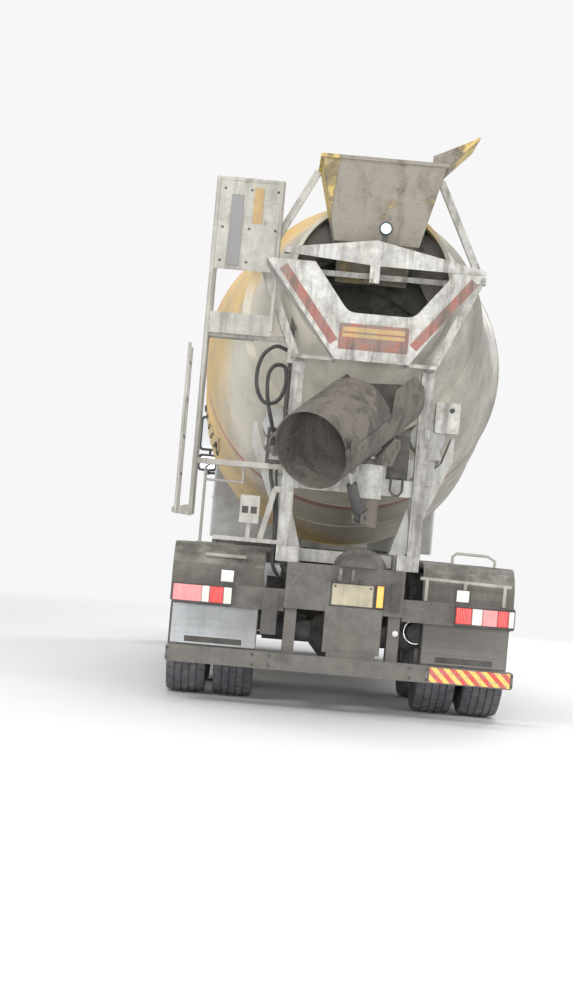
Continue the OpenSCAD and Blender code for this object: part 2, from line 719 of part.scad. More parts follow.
module rim_3_right() { rear_rim(1, axle_3); }
module rim_4_left() { rear_rim(-1, axle_4); }
module rim_4_right() { rear_rim(1, axle_4); }
module tyre_1_left() { front_tyre(-1, axle_1); }
module tyre_1_right() { front_tyre(1, axle_1); }
module tyre_2_left() { front_tyre(-1, axle_2); }
module tyre_2_right() { front_tyre(1, axle_2); }
module tyre_3_left() { rear_tyre(-1, axle_3); }
module tyre_3_right() { rear_tyre(1, axle_3); }
module tyre_4_left() { rear_tyre(-1, axle_4); }
module tyre_4_right() { rear_tyre(1, axle_4); }

// Cab body as the common part of a side outline, a plan outline and a front outline, all set in by w
module cab_volume(w) {
  half = cab_w / 2 - w;
  intersection() {
    across(-half, half) polygon(rounded([
      [cab_back + w, cab_floor + w, 10], [arch_front + w, cab_floor + w, 10],
      [arch_front + w, cab_low + w, 10], [front_y - w, cab_low + w, 20],
      [front_y - w, belt_z - 60, 60], [front_y - 190 - w, screen_top + 80, 60],
      [front_y - 360, cab_top - w, 60], [cab_back + w, cab_top - 30 - w, 60]]));
    linear_extrude(4000) polygon(rounded([
      [-half, cab_back + w, 60], [half, cab_back + w, 60], [half, front_y - 200 - w, 120],
      [half - 210, front_y - w, 160], [-half + 210, front_y - w, 160], [-half, front_y - 200 - w, 120]]));
    along(cab_back, front_y) polygon(rounded([
      [-half, cab_low + w, 20], [half, cab_low + w, 20], [half, belt_z, 80],
      [half - 60, cab_top - 60 - w, 120], [half - 200, cab_top - w, 160], [-half + 200, cab_top - w, 160],
      [-half + 60, cab_top - 60 - w, 120], [-half, belt_z, 80]]));
  }
}
module door_outline(gap) {
  polygon(rounded([[door_back + gap, door_low + 230 + gap, 40],
    [door_back + 330 - gap, door_low + 200 + gap, 60],
    [door_back + 400 + gap, door_low + gap, 60], [door_front - gap, door_low + gap, 40],
    [door_front - gap, belt_z + 60, 100], [door_front - 170 - gap, door_top - gap, 60],
    [door_back + gap, door_top - gap, 60]]));
}
// Region of a door in the cab's side: as deep as the wall, and deeper above the belt, where the side
// leans in
module door_region(edge_gap, depth_gap) {
  across(cab_w / 2 - cab_t - depth_gap, cab_w / 2 + 10) door_outline(edge_gap);
  across(cab_w / 2 - 260, cab_w / 2 + 10) intersection() {
    door_outline(edge_gap);
    translate([door_back, belt_z - 100]) square([door_front - door_back, door_top - belt_z + 200]);
  }
}
module door_window(by) {
  polygon(rounded([[door_back + 90 - by, belt_z + 40 - by, 50],
    [door_front - 120 + by, belt_z - 60 - by, 50],
    [door_front - 120 + by, belt_z + 120, 60], [door_front - 270 + by, door_top - 90 + by, 50],
    [door_back + 90 - by, door_top - 90 + by, 50]]));
}
module screen_outline(by) {
  half = cab_w / 2 - 210 + by;
  polygon(rounded([[-half, belt_z + 20 - by, 70], [half, belt_z + 20 - by, 70],
    [half - 20, screen_top + by, 90], [-half + 20, screen_top + by, 90]]));
}
module rear_window(by) {
  polygon(rounded([[-520 - by, belt_z + 60 - by, 50], [520 + by, belt_z + 60 - by, 50],
    [520 + by, screen_top - 120 + by, 50], [-520 - by, screen_top - 120 + by, 50]]));
}
module side_window(by) {
  polygon(rounded([[cab_back + 180 - by, belt_z + 60 - by, 40],
    [door_back - 130 + by, belt_z + 60 - by, 40],
    [door_back - 130 + by, door_top - 150 + by, 40], [cab_back + 180 - by, door_top - 150 + by, 40]]));
}
// Cab body without the tunnel over the rails and the engine
module cab_body(w) {
  difference() {
    cab_volume(w);
    block([-tunnel_x - w, cab_back - 10, 0], [tunnel_x + w, tunnel_front + w, cab_floor + w]);
  }
}
module cab_walls() {
  difference() {
    cab_body(0);
    cab_body(cab_t);
  }
}
// Sheet that follows the cab's surface at the glass's depth
module glass_skin() {
  difference() {
    cab_volume(glass_depth);
    cab_volume(glass_depth + glass_t);
  }
}
module cab_shell() {
  color("whitesmoke") {
    difference() {
      cab_walls();
      both_sides() door_region(0, door_gap);
      along(front_y - 420, front_y + 10) screen_outline(0);
      along(cab_back - 10, cab_back + cab_t + 10) rear_window(0);
      both_sides() across(cab_w / 2 - 260, cab_w / 2 + 10) side_window(0);
      for (z = grille_table) block([-760 - seat, front_y - grille_depth - seat, z - seat],
        [760 + seat, front_y + 1, z + bar_h + seat]);
    }
    // Tilt hinge ears
    both_sides() difference() {
      across(tilt_ear_x, tilt_ear_x + 30) polygon([[front_y - 30, cab_low + 40],
        [tunnel_front + 2, cab_low + 40],
        [tilt_pin[0] - 34, tilt_pin[1] - 34], [tilt_pin[0] + 34, tilt_pin[1] - 34]]);
      translate([tilt_ear_x - 10, tilt_pin[0], tilt_pin[1]]) rotate([0, 90, 0])
        cylinder(r = tilt_pin_r + fit, h = 60);
    }
    // Door hinges: bracket and pin
    both_sides() for (z = hinge_table) {
      block([cab_w / 2 - 5, door_front + 6, z - 30], [hinge_x + 12, door_front + 40, z - 10]);
      block([cab_w / 2 + 4, door_front - 12, z - 30], [hinge_x + 12, door_front + 7, z - 10]);
      translate([hinge_x, door_front, z - 30]) cylinder(r = hinge_pin_r, h = 60);
    }
  }
}
module cab_glass() {
  color("lightcyan") intersection() {
    glass_skin();
    union() {
      along(front_y - 420, front_y + 10) screen_outline(-seat);
      along(cab_back, cab_back + cab_t) rear_window(-seat);
      both_sides() across(cab_w / 2 - 260, cab_w / 2 + 10) side_window(-seat);
    }
  }
}
module door(side) {
  color("whitesmoke") scale([side, 1, 1]) {
    intersection() {
      cab_walls();
      difference() {
        door_region(door_gap, 0);
        across(cab_w / 2 - 260, cab_w / 2 + 20) door_window(0);
      }
    }
    for (z = hinge_table) difference() {
      union() {
        translate([hinge_x, door_front, z - 10 + seat]) cylinder(r = 12, h = 40 - seat);
        block([cab_w / 2 - 5, door_front - 60, z - 10 + seat], [hinge_x, door_front - 8, z + 30]);
      }
      translate([hinge_x, door_front, z - 20]) cylinder(r = hinge_pin_r + fit, h = 60);
    }
  }
}
module door_glass(side) {
  color("lightcyan") intersection() {
    glass_skin();
    scale([side, 1, 1]) across(cab_w / 2 - 200, cab_w / 2 + 10) door_window(-seat);
  }
}
module door_left() { door(-1); }
module door_right() { door(1); }
module door_glass_left() { door_glass(-1); }
module door_glass_right() { door_glass(1); }

// Grille bars, sun visor and mirrors
module cab_trim() {
  mirror_x = cab_w / 2 + 120;
  mirror_table = [
    // lower and upper edge of each mirror's housing
    [1920, 2110],
    [2150, 2540]];
  color("darkslategray") {
    for (z = grille_table) block([-760, front_y - grille_depth, z], [760, front_y, z + bar_h]);
    difference() {
      union() {
        along(front_y - 110, front_y - 60) polygon(rounded([[-840, screen_top + 30, 20],
          [840, screen_top + 30, 20],
          [800, screen_top + 130, 40], [-800, screen_top + 130, 40]]));
        for (x = [-600, -15, 570]) block([x, front_y - 230, screen_top + 70],
          [x + 30, front_y - 100, screen_top + 90]);
        both_sides() {
          rod([cab_w / 2 - 90, front_y - 240, 2560], [mirror_x, front_y - 150, 2560], 14);
          rod([cab_w / 2 - 60, front_y - 250, 1900], [mirror_x, front_y - 150, 1900], 14);
          rod([mirror_x, front_y - 150, 1880], [mirror_x, front_y - 150, 2580], 14);
          for (row = mirror_table) along(front_y - 200, front_y - 120) polygon(rounded([
            [mirror_x - 90, row[0], 40], [mirror_x + 130, row[0], 40],
            [mirror_x + 130, row[1], 40], [mirror_x - 90, row[1], 40]]));
        }
      }
      cab_volume(-seat);
    }
  }
}

// Seats, dashboard and steering wheel
module cab_interior() {
  floor_z = cab_floor + cab_t + seat;
  color("dimgray") {
    both_sides() {
      block([330, cab_back + 560, floor_z], [800, cab_back + 1060, floor_z + 420]);
      along(cab_back + 440, cab_back + 570) polygon(rounded([[330, floor_z + 300, 20],
        [800, floor_z + 300, 20],
        [760, floor_z + 1150, 80], [370, floor_z + 1150, 80]]));
    }
    across(-cab_w / 2 + 180, cab_w / 2 - 180) polygon(rounded([[front_y - 520, floor_z, 10],
      [front_y - 240, floor_z, 10], [front_y - 160, 1760, 20], [front_y - 320, 1800, 40],
        [front_y - 560, 1700, 40]]));
    translate([-560, front_y - 610, 1720]) rotate([25, 0, 0]) rotate_extrude()
      translate([210, 0]) circle(r = 14);
    translate([-560, front_y - 610, 1720]) rotate([25, 0, 0]) translate([-210, -14, -10])
      cube([420, 28, 20]);
    rod([-560, front_y - 610, 1718], [-560, front_y - 480, 1450], 25);
  }
}

// Front bumper with lamp cut-outs, steps and a tow jaw
bumper_low = 420;
bumper_top = 822;
bumper_t = 40;
step_table = [
  // tread and top of each step's opening
  [500, 620],
  [680, 790]];
module front_lamp_outline(by) {
  polygon(rounded([[720 + by, 560 + by, 30], [1000 - by, 560 + by, 30], [1000 - by, 720 - by, 30],
    [720 + by, 720 - by, 30]]));
}
module bumper_plan(w) {
  half = cab_w / 2 + 20 - w;
  polygon(rounded([[-half, front_y - 640 + w, 20], [half, front_y - 640 + w, 20],
    [half, front_y - 220 - w, 120],
    [half - 230, front_y - w, 160], [-half + 230, front_y - w, 160], [-half, front_y - 220 - w, 120]]));
}
module bumper() {
  color("slategray") {
    difference() {
      translate([0, 0, bumper_low]) linear_extrude(bumper_top - bumper_low) bumper_plan(0);
      translate([0, 0, bumper_low - 1]) linear_extrude(bumper_top) bumper_plan(bumper_t);
      block([-frame_w / 2 - 40, front_y - 700, bumper_low - 1],
        [frame_w / 2 + 40, front_y - 560, bumper_top + 1]);
      both_sides() {
        along(front_y - 260, front_y + 1) front_lamp_outline(0);
        for (row = step_table) block([cab_w / 2 - 40, front_y - 520, row[0]],
          [cab_w / 2 + 30, front_y - 300, row[1]]);
      }
      block([-420, front_y - bumper_t - 1, 480], [420, front_y + 1, 560]);
      block([-75, front_y - bumper_t - 1, 600], [75, front_y + 1, 755]);
    }
    // Shelves of the steps
    both_sides() for (row = step_table)
      block([cab_w / 2 - 170, front_y - 540, row[0] - 20], [cab_w / 2 - 19, front_y - 280, row[0]]);
    // Tow coupling between two ears, with its pin's bore
    difference() {
      union() {
        for (z = [tow_front_z - tow_half, tow_front_z + tow_half - tow_t])
          block([-tow_eye_r, front_y - 200, z], [tow_eye_r, front_y - 30, z + tow_t]);
        block([-tow_eye_r, front_y - 200, tow_front_z - tow_half],
          [tow_eye_r, front_y - 160, tow_front_z + tow_half]);
        block([-350, front_y - 250, tow_front_z - tow_half], [350, front_y - 199, tow_front_z + tow_half]);
        both_sides() block([frame_w / 2 - rail_w + 10, front_y - 420, tow_front_z - tow_half],
          [frame_w / 2 - 20, front_y - 199, rail_low - seat]);
        // Brackets from the frame's ends out to the bumper's rear wall
        both_sides() block([frame_w / 2 - 21, front_y - 250, 640], [cab_w / 2 - 15, front_y - 210, 680]);
      }
      translate([0, tow_front_y, tow_front_z - 100]) cylinder(r = tow_pin_r, h = 200);
    }
  }
}

// Fuel tank on the left, air tanks and battery box
module side_tanks() {
  tank_low = 480;
  color("silver") {
    along(axle_2 - 1750, axle_2 - 720) polygon(rounded([[-1150, tank_low, 110], [-620, tank_low, 110],
      [-620, tank_low + 430, 110], [-1150, tank_low + 430, 110]]));
    for (y = [axle_2 - 1550, axle_2 - 920]) block([-640, y - 40, tank_low + 120],
      [-frame_w / 2, y + 40, rail_top - 60]);
    along(axle_2 + 640, axle_1 - 700) polygon(rounded([[-1120, 560, 30], [-640, 560, 30],
      [-640, 980, 30], [-1120, 980, 30]]));
    block([-660, axle_2 + 760, 800], [-frame_w / 2, axle_2 + 840, 900]);
    for (z = [600, 860]) rod([760, axle_2 - 1700, z], [760, axle_2 - 900, z], 115);
    for (y = [axle_2 - 1600, axle_2 - 1000]) block([frame_w / 2, y - 30, 700], [760, y + 30, 780]);
  }
}

// Silencer box and exhaust pipe
module exhaust() {
  pipe_r = 60;
  pipe_top = 2500;
  color("silver") {
    along(axle_2 + 640, axle_1 - 660) polygon(rounded([[620, 520, 60], [1130, 520, 60], [1130, 1000, 60],
      [620, 1000, 60]]));
    block([frame_w / 2, axle_2 + 760, 800], [640, axle_2 + 840, 900]);
    translate([900, axle_2 + 700, 0]) {
      difference() {
        translate([0, 0, 900]) cylinder(r = pipe_r, h = pipe_top - 900);
        translate([0, 0, pipe_top - 300]) cylinder(r = pipe_r - 5, h = 301);
      }
      // Outlet, bent to the rear
      translate([0, -160, pipe_top]) rotate([90, 0, 90]) rotate_extrude(angle = 50)
        translate([160, 0]) difference() {
        circle(r = pipe_r);
        circle(r = pipe_r - 5);
      }
      translate([0, 0, pipe_top - 30]) difference() {
        cylinder(r = pipe_r + 8, h = 50);
        translate([0, 0, -1]) cylinder(r = pipe_r - 5, h = 52);
      }
    }
    block([beam_out + seat, axle_2 + 680, rail_top + 20], [900, axle_2 + 720, rail_top + 80]);
  }
}

// Water tank across the truck behind the cab, on its saddles
module water_tank() {
  tank_r = 225;
  tank_y = cab_back - 330;
  tank_z = 1780;
  color("whitesmoke") {
    translate([0, tank_y, tank_z]) rotate([0, 90, 0]) rotate_extrude() polygon([[0, -760], [150, -745],
      [tank_r, -690],
      [tank_r, 690], [150, 745], [0, 760]]);
    both_sides() {
      block([350, tank_y - 60, sub_top], [410, tank_y + 60, tank_z - tank_r + 60]);
      block([330, tank_y - 170, tank_z - tank_r - 20], [430, tank_y + 170, tank_z - tank_r + 50]);
    }
  }
}

// Side guards between the axles
module side_guards() {
  guard_x = 1200;
  y0 = axle_3 + tyre_r + 60;
  y1 = axle_2 - tyre_r - 140;
  color("silver") {
    for (z = [520, 760]) block([guard_x, y0, z], [guard_x + 25, y1, z + 100]);
    for (z = [520, 760]) block([-guard_x - 25, y0, z], [-guard_x, y1, z + 100]);
    for (y = [y0 + 150, y1 - 150]) {
      block([guard_x - 40, y - 30, 500], [guard_x, y + 30, rail_top - 60]);
      block([frame_w / 2, y - 30, rail_top - 120], [guard_x, y + 30, rail_top - 60]);
      block([-guard_x, y - 30, 500], [-guard_x + 40, y + 30, rail_top - 60]);
      block([-guard_x, y - 30, rail_top - 120], [-frame_w / 2, y + 30, rail_top - 60]);
    }
  }
}

// Mudguards over the rear wheels and the second axle, with flaps
fender_top = 1130;
fender_t = 10;
module fender_shell(y0, y1, x0, x1, low) {
  across(x0, x1) difference() {
    polygon(rounded([[y0, low, 0], [y1, low, 0], [y1, fender_top, 240], [y0, fender_top, 240]]));
    polygon(rounded([[y0 + fender_t, low - 1, 0], [y1 - fender_t, low - 1, 0],
      [y1 - fender_t, fender_top - fender_t, 230], [y0 + fender_t, fender_top - fender_t, 230]]));
  }
}
module fenders() {
  inner_x = inner_twin_x - tyre_w / 2 - 20;
  outer_x = rear_width / 2;
  back = axle_4 - tyre_r - 70;
  color("dimgray") {
    both_sides() {
      fender_shell(back, axle_3 + tyre_r + 50, inner_x, outer_x, 700);
      // Flap behind the rear tyres
      block([inner_x + 20, back - 6, 390], [outer_x - 20, back, 740]);
      for (y = [axle_4 - 300, axle_3 + 300, axle_2 - 250, axle_2 + 250])
        rod([beam_out + seat, y, fender_top - 25], [outer_x - 60, y, fender_top - 25], 20);
      // Mudguard over the second axle, clear of the steered wheel
      fender_shell(axle_2 - tyre_r - 110, axle_2 + tyre_r + 90, 860, 1230, 760);
    }
  }
}

// Underrun bar with its brackets, and the lamp carrier
underrun_y = frame_end - 90;
module underrun() {
  color("slategray") {
    along(underrun_y - 50, underrun_y + 50) polygon(rounded([[-1235, 280, 20], [1235, 280, 20],
      [1235, 400, 20], [-1235, 400, 20]]));
    both_sides() {
      block([330, underrun_y + 30, 300], [frame_w / 2 - 10, frame_end + 200, 380]);
      block([330, frame_end + 20, 300], [frame_w / 2 - 10, frame_end + 200, rail_low - seat]);
      block([frame_w / 2 + seat, frame_end + 30, 690], [1230, frame_end + 60, 850]);
    }
    block([-130, frame_end - 40, 430], [280, frame_end - 12 - seat, 760]);
    block([-100, underrun_y, 390], [250, frame_end - 14, 440]);
  }
}

// Front and rear lamps
module lamps() {
  color("orangered") {
    both_sides() {
      block([800, frame_end - 30, 700], [1225, frame_end + 30 - seat, 840]);
      intersection() {
        along(front_y - 260, front_y) front_lamp_outline(seat);
        linear_extrude(bumper_top) difference() {
          bumper_plan(6);
          bumper_plan(36);
        }
      }
    }
  }
}

// Charging hopper with its throat, slide, flap and roof plates
throat_z = 3330;
roof_in = 4;
roof_left = 640;
roof_right = 780;
// Top of the roof plates at a distance to the right of the middle
function roof_z(x) = throat_z + 12 - roof_fall * x / roof_right;
roof_fall = 152;
rim_out = 12;
rim_in = 10;
flap_out = 215;
flap_h = 210;
hopper_low = [-throat_w / 2, chute_y - 60, throat_w / 2, chute_y + 180, throat_z];
hopper_high = [-hopper_w / 2, chute_y - 290, hopper_w / 2, chute_y + 350, hopper_top];
module hopper() {
  color("goldenrod") {
    difference() {
      frustum(hopper_low, hopper_high);
      frustum(grown(hopper_low, -plate_t, -1), grown(hopper_high, -plate_t, 1));
    }
    // Slide that leads into the drum's mouth
    translate([0, chute_y + 30, throat_z - 20]) rotate([-30, 0, 0]) difference() {
      block([-throat_w / 2 + 40, -60, 0], [throat_w / 2 - 40, 420, 120]);
      block([-throat_w / 2 + 50, -61, 10], [throat_w / 2 - 50, 421, 121]);
    }
    // Rim
    difference() {
      block([-hopper_w / 2 - rim_out, hopper_high[1] - rim_out, hopper_top - 25],
        [hopper_w / 2 + rim_out, hopper_high[3] + rim_out, hopper_top]);
      block([-hopper_w / 2 + rim_in, hopper_high[1] + rim_in, hopper_top - 26],
        [hopper_w / 2 - rim_in, hopper_high[3] - rim_in, hopper_top + 1]);
    }
    // Flap on the right, with the wing that closes its rear edge
    along(hopper_high[1] + 30, hopper_high[3] - 60) polygon([[hopper_w / 2 - 5, hopper_top - 5],
      [hopper_w / 2 + rim_out, hopper_top - 5], [hopper_w / 2 + flap_out, hopper_top + flap_h],
      [hopper_w / 2 + flap_out - 20, hopper_top + flap_h]]);
    along(hopper_high[1] + 22, hopper_high[1] + 32) polygon([[hopper_w / 2 - 105, hopper_top - 2],
      [hopper_w / 2 - 105, hopper_top + 50], [hopper_w / 2 + flap_out, hopper_top + flap_h],
      [hopper_w / 2 + 10, hopper_top - 5]]);
    // Roof plates over the collector
    difference() {
      along(chute_y - 150, chute_y + 100) polygon([[-roof_left, throat_z - 90], [0, throat_z + 12],
        [roof_right, throat_z + 12 - roof_fall], [roof_right, throat_z - roof_fall], [0, throat_z - 4],
        [-roof_left, throat_z - 102]]);
      block([hopper_low[0] + roof_in, hopper_low[1] + roof_in, collector_top],
        [hopper_low[2] - roof_in, hopper_low[3] + 1, throat_z + 40]);
    }
    // Apron along the roof plates' rear edge, and the hanging gusset in its middle
    along(chute_y - 150, chute_y - 140) polygon([[-roof_left, throat_z - 95], [0, throat_z + 4],
      [roof_right, throat_z - 146], [roof_right, throat_z - 172], [0, collector_top + 12],
      [-roof_left, throat_z - 125]]);
    block([-35, chute_y - 152, throat_z - 290], [35, chute_y - 138, throat_z - 3]);
    both_sides() {
      block([stay_x - 40, post_y - 60, stay_top + 15 + seat], [stay_x + 40, post_y + 20, stay_top + 35]);
      beam([stay_x, post_y - 20, stay_top + 27], [hopper_w / 2 + 10, post_y - 30, hopper_top - 20], 50, 50);
    }
  }
}

// Collector under the drum's mouth, behind the service platform
plat_back = post_y - 90;
collector_x = 30;
spout = [collector_x - spout_w / 2, chute_y - 130, collector_x + spout_w / 2, chute_y + 150, collector_low];
notch_x = 70;
notch_top = 980;
notch_low = 460;
notch_d = 330;
bowl = [-collector_w / 2, chute_y - 200, collector_w / 2, plat_back - 40, collector_top];
module collector() {
  color("gainsboro") {
    difference() {
      frustum(spout, bowl);
      frustum(grown(spout, -plate_t, -1), grown(bowl, -plate_t, 1));
      drum_axis() translate([0, 0, drum_l - 1200]) cylinder(r = mouth_r + 110, h = 1220);
      // Notch in the rear plate
      along(bowl[1] - 10, bowl[1] + 110) polygon(rounded([[notch_x - notch_top / 2, collector_top + 1, 0],
        [notch_x - notch_low / 2, collector_top - notch_d, 110],
          [notch_x + notch_low / 2, collector_top - notch_d, 110],
        [notch_x + notch_top / 2, collector_top + 1, 0]]));
    }
    // Brackets from the posts' rear faces to the side plates
    for (side = [-1, 1]) scale([side, 1, 1]) {
      edge = side * collector_x + spout_w / 2 + 8;
      block([post_x - 30, chute_y + 10, collector_low], [post_x + 30, post_y - 45 - seat,
        collector_low + 25]);
      block([edge, chute_y + 10, collector_low], [post_x - 29, chute_y + 50, collector_low + 25]);
    }
  }
}

// Service platform with its guard rail, panel and ladder
fold_out = 115;
plat_front = plat_back + 600;
function rung_z(k) = ladder_joint_z + 80 + 290 * k;
module platform() {
  x0 = -ladder_x;
  x1 = -690;
  x2 = -820;
  post_face = -post_x - 45 - seat;
  color("silver") {
    translate([0, 0, platform_z - 40]) linear_extrude(40) polygon([[x0 - tube_r, plat_back],
      [x1, plat_back],
      [x2, plat_front], [x0 - tube_r, plat_front]]);
    // Guard posts and rails
    tube_run([[x0, plat_back, platform_z - 20], [x0, plat_back, guard_top], [x1, plat_back, guard_top],
      [x1, plat_back, platform_z - 20]], tube_r);
    tube_run([[x0, plat_back, guard_top], [x0, plat_front, guard_top], [x0, plat_front, platform_z - 20]],
      tube_r);
    rod([x0, plat_back, platform_z + 520], [x0, plat_front, platform_z + 520], tube_r);
    block([x0, plat_back - 8, 3100], [x1, plat_back + 2, guard_top - 10]);
    block([x0, plat_back - 8, platform_z - 60], [x1, plat_back + 2, platform_z + 90]);
    // Ladder rails and rungs on the left side
    for (y = [plat_back, plat_back + 320])
      rod([x0, y, ladder_joint_z - 20], [x0, y, platform_z - 10], tube_r);
    for (k = [0:4]) rod([x0, plat_back, rung_z(k)], [x0, plat_back + 320, rung_z(k)], tube_r - 3);
    // Brackets that carry the platform and the ladder from the left post
    beam([x0, post_y, rung_z(1)], [post_face, post_y, rung_z(1)], 40, 40);
    beam([x0, post_y, platform_z - 60], [-stay_out(platform_z - 40) - 3 * seat, post_y, platform_z - 60],
      40, 40);
    // Taps at the hose's two ends
    block([-555, post_y - 75, 2470], [post_face, post_y - 40, 2500]);
    block([-555, post_y - 75, 2470], [-530, post_y - 45, 2575]);
    block([-580, post_y - 80, 1780], [post_face, post_y - 40, 1812]);
    // Hinge ears of the folding section
    for (y = [plat_back, plat_back + 320]) difference() {
      along(y - 8, y + 8) polygon([[x0, ladder_joint_z - 30], [x0, ladder_joint_z + 50],
        [x0 - fold_out - 20, ladder_joint_z + 20], [x0 - fold_out - 20, ladder_joint_z - 20]]);
      translate([x0 - fold_out, y + 20, ladder_joint_z]) rotate([90, 0, 0]) cylinder(r = 10 + fit, h = 40);
    }
  }
}
module ladder_fold() {
  x = -ladder_x - fold_out;
  color("silver") {
    for (y = [plat_back - 22, plat_back + 342])
      rod([x + 8, y, ladder_joint_z - 15], [x + 8, y, ladder_joint_z + ladder_fold_l], 12);
    for (k = [1:4]) rod([x + 8, plat_back - 22, ladder_joint_z + 270 * k],
      [x + 8, plat_back + 342, ladder_joint_z + 270 * k], 11);
    rod([x, plat_back - 24, ladder_joint_z], [x, plat_back + 344, ladder_joint_z], 10);
  }
}

// Swing arm of the chute: shaft in the bearing, hinge ears and the lift cylinder's foot
module chute_arm() {
  color("dimgray") difference() {
    swing_axis() {
      translate([0, 0, lift_base[1] - 60]) cylinder(r = swing_r, h = bearing_top + 30 - lift_base[1] + 60);
      translate([0, 0, bearing_top + seat]) cylinder(r = 90, h = 30);
      translate([0, 0, lift_base[1] - 60]) cylinder(r = 70, h = bearing_low - seat - lift_base[1] + 60);
      for (x = [-115, 85]) across(x, x + 30) polygon(rounded([[-110, bearing_top + seat, 0],
        [90, bearing_top + seat, 0],
        [pin_ahead + 45, chute_pin_z - 20, 20], [pin_ahead + 45, chute_pin_z + 45, 30],
        [pin_ahead - 45, chute_pin_z + 45, 30], [-110, bearing_top + 60, 10]]));
      block([-115, -60, bearing_top + seat], [115, 60, bearing_top + 40]);
      for (x = [-45, 25]) across(x, x + 20) polygon([[0, lift_base[1] - 60],
        [lift_base[0] - 30, lift_base[1] - 40],
        [lift_base[0] - 30, lift_base[1] + 30], [0, lift_base[1] + 90]]);
    }
    swing_axis() translate([-200, pin_ahead, chute_pin_z]) rotate([0, 90, 0])
      cylinder(r = pin_r + fit, h = 400);
    swing_axis() translate([-200, lift_base[0], lift_base[1]]) rotate([0, 90, 0])
      cylinder(r = 15 + fit, h = 400);
  }
}

// Trough of the chute: high walls under the collector, half round to its end, with its hinge pin
module trough_section(r, wall) {
  translate([0, pin_rim]) difference() {
    union() {
      circle(r = r);
      translate([-r, 0]) square([2 * r, wall]);
    }
    translate([-r - 1, wall]) square([2 * r + 2, 2 * r]);
  }
}
module chute_trough() {
  outer = trough_r + chute_t;
  side_view = [[trough_back, -10], [trough_back, pin_rim + 40], [trough_back - 90, pin_rim + wall_h],
    [-180, pin_rim + wall_h],
    [-trough_l + ext_l + 10, pin_rim], [-trough_l, pin_rim], [-trough_l, -10]];
  color("dimgray") chute_axis() {
    intersection() {
      difference() {
        along(-trough_l, trough_back) trough_section(outer, wall_h);
        along(-trough_l - 1, trough_back - chute_t) trough_section(trough_r, wall_h + 1);
      }
      across(-outer - 1, outer + 1) polygon(side_view);
    }
    // Lugs under the trough, the hinge pin and the lift cylinder's ears
    for (x = [-70, 50]) across(x, x + 20) polygon([[90, pin_rim - trough_r - 2],
      [-90, pin_rim - trough_r - 2],
      [-30, -30], [30, -30]]);
    translate([-125, 0, 0]) rotate([0, 90, 0]) cylinder(r = pin_r, h = 250);
    for (x = [-45, 30]) across(x, x + 15) polygon([[lift_eye[0] + 60, pin_rim - trough_r - 2],
      [lift_eye[0] - 60, pin_rim - trough_r - 2], [lift_eye[0] - 22, lift_eye[1] - 22],
        [lift_eye[0] + 22, lift_eye[1] - 22]]);
    translate([-46, lift_eye[0], lift_eye[1]]) rotate([0, 90, 0]) cylinder(r = lift_pin_r, h = 92);
    // Fixed hinge eyes at the lower end
    for (x = [-outer - 30, outer - 1]) difference() {
      across(x, x + 31) polygon(rounded([[-trough_l + 60, pin_rim - 45, 10], [-trough_l, pin_rim - 60, 10],
        [-trough_l - 22, pin_rim + fold_gap / 2 - 22, 14], [-trough_l - 22, pin_rim + fold_gap / 2 + 22,
          14],
        [-trough_l + 22, pin_rim + fold_gap / 2 + 22, 14]]));
      translate([x - 1, -trough_l, pin_rim + fold_gap / 2]) rotate([0, 90, 0])
        cylinder(r = fold_pin_r + fit, h = 40);
      block([-outer - 1, -trough_l - 40, pin_rim], [outer + 1, -trough_l + 90, pin_rim + 60]);
      block([-outer - 1, -trough_l - 40, 0], [outer + 1, -trough_l, pin_rim + 60]);
    }
  }
}

// Extension, folded upside down over the trough
module chute_extension() {
  outer = trough_r + chute_t;
  color("dimgray") chute_axis() {
    difference() {
      along(-trough_l + fold_gap, -trough_l + ext_l) translate([0, pin_rim + fold_gap]) difference() {
        circle(r = outer);
        circle(r = trough_r);
        translate([-outer - 1, -outer - 1]) square([2 * outer + 2, outer + 1]);
      }
    }
    for (side = [-1, 1]) scale([side, 1, 1]) {
      translate([outer + 1, -trough_l, pin_rim + fold_gap / 2]) rotate([0, 90, 0])
        cylinder(r = fold_pin_r, h = fold_pin_l - 1);
      across(outer + 35, outer + 50) polygon(rounded([[-trough_l - 22, pin_rim - 18, 10],
        [-trough_l + 22, pin_rim - 18, 10],
        [-trough_l + 90, pin_rim + 40, 10], [-trough_l + 90, pin_rim + 90, 10],
          [-trough_l + 10, pin_rim + 60, 10]]));
      block([outer - 18, -trough_l + 40, pin_rim + 70], [outer + 50, -trough_l + 90, pin_rim + 84]);
    }
  }
}

// Lift cylinder between the swing arm and the trough
lift_top = [pin_ahead + lift_eye[0] * cos(chute_slope) - lift_eye[1] * sin(chute_slope),
  chute_pin_z + lift_eye[0] * sin(chute_slope) + lift_eye[1] * cos(chute_slope)];
lift_l = norm(lift_top - lift_base);
lift_angle = atan2(lift_top[1] - lift_base[1], lift_top[0] - lift_base[0]);
module lift_axis() {
  swing_axis() translate([0, lift_base[0], lift_base[1]]) rotate([lift_angle - 90, 0, 0]) children();
}
barrel_l = 270;
module lift_barrel() {
  color("gray") lift_axis() difference() {
    union() {
      translate([-18, 0, 0]) rotate([0, 90, 0]) cylinder(r = 30, h = 36);
      translate([-18, -26, 0]) cube([36, 52, 60]);
      translate([0, 0, 50]) cylinder(r = 38, h = barrel_l - 50);
      translate([-50, 0, 0]) rotate([0, 90, 0]) cylinder(r = 15, h = 100);
    }
    translate([0, 0, 60]) cylinder(r = 16 + fit, h = barrel_l);
  }
}
module lift_rod() {
  color("silver") lift_axis() difference() {
    union() {
      translate([0, 0, 140]) cylinder(r = 16, h = lift_l - 150);
      translate([-18, 0, lift_l]) rotate([0, 90, 0]) cylinder(r = 26, h = 36);
    }
    translate([-50, 0, lift_l]) rotate([0, 90, 0]) cylinder(r = lift_pin_r + lift_play, h = 100);
  }
}

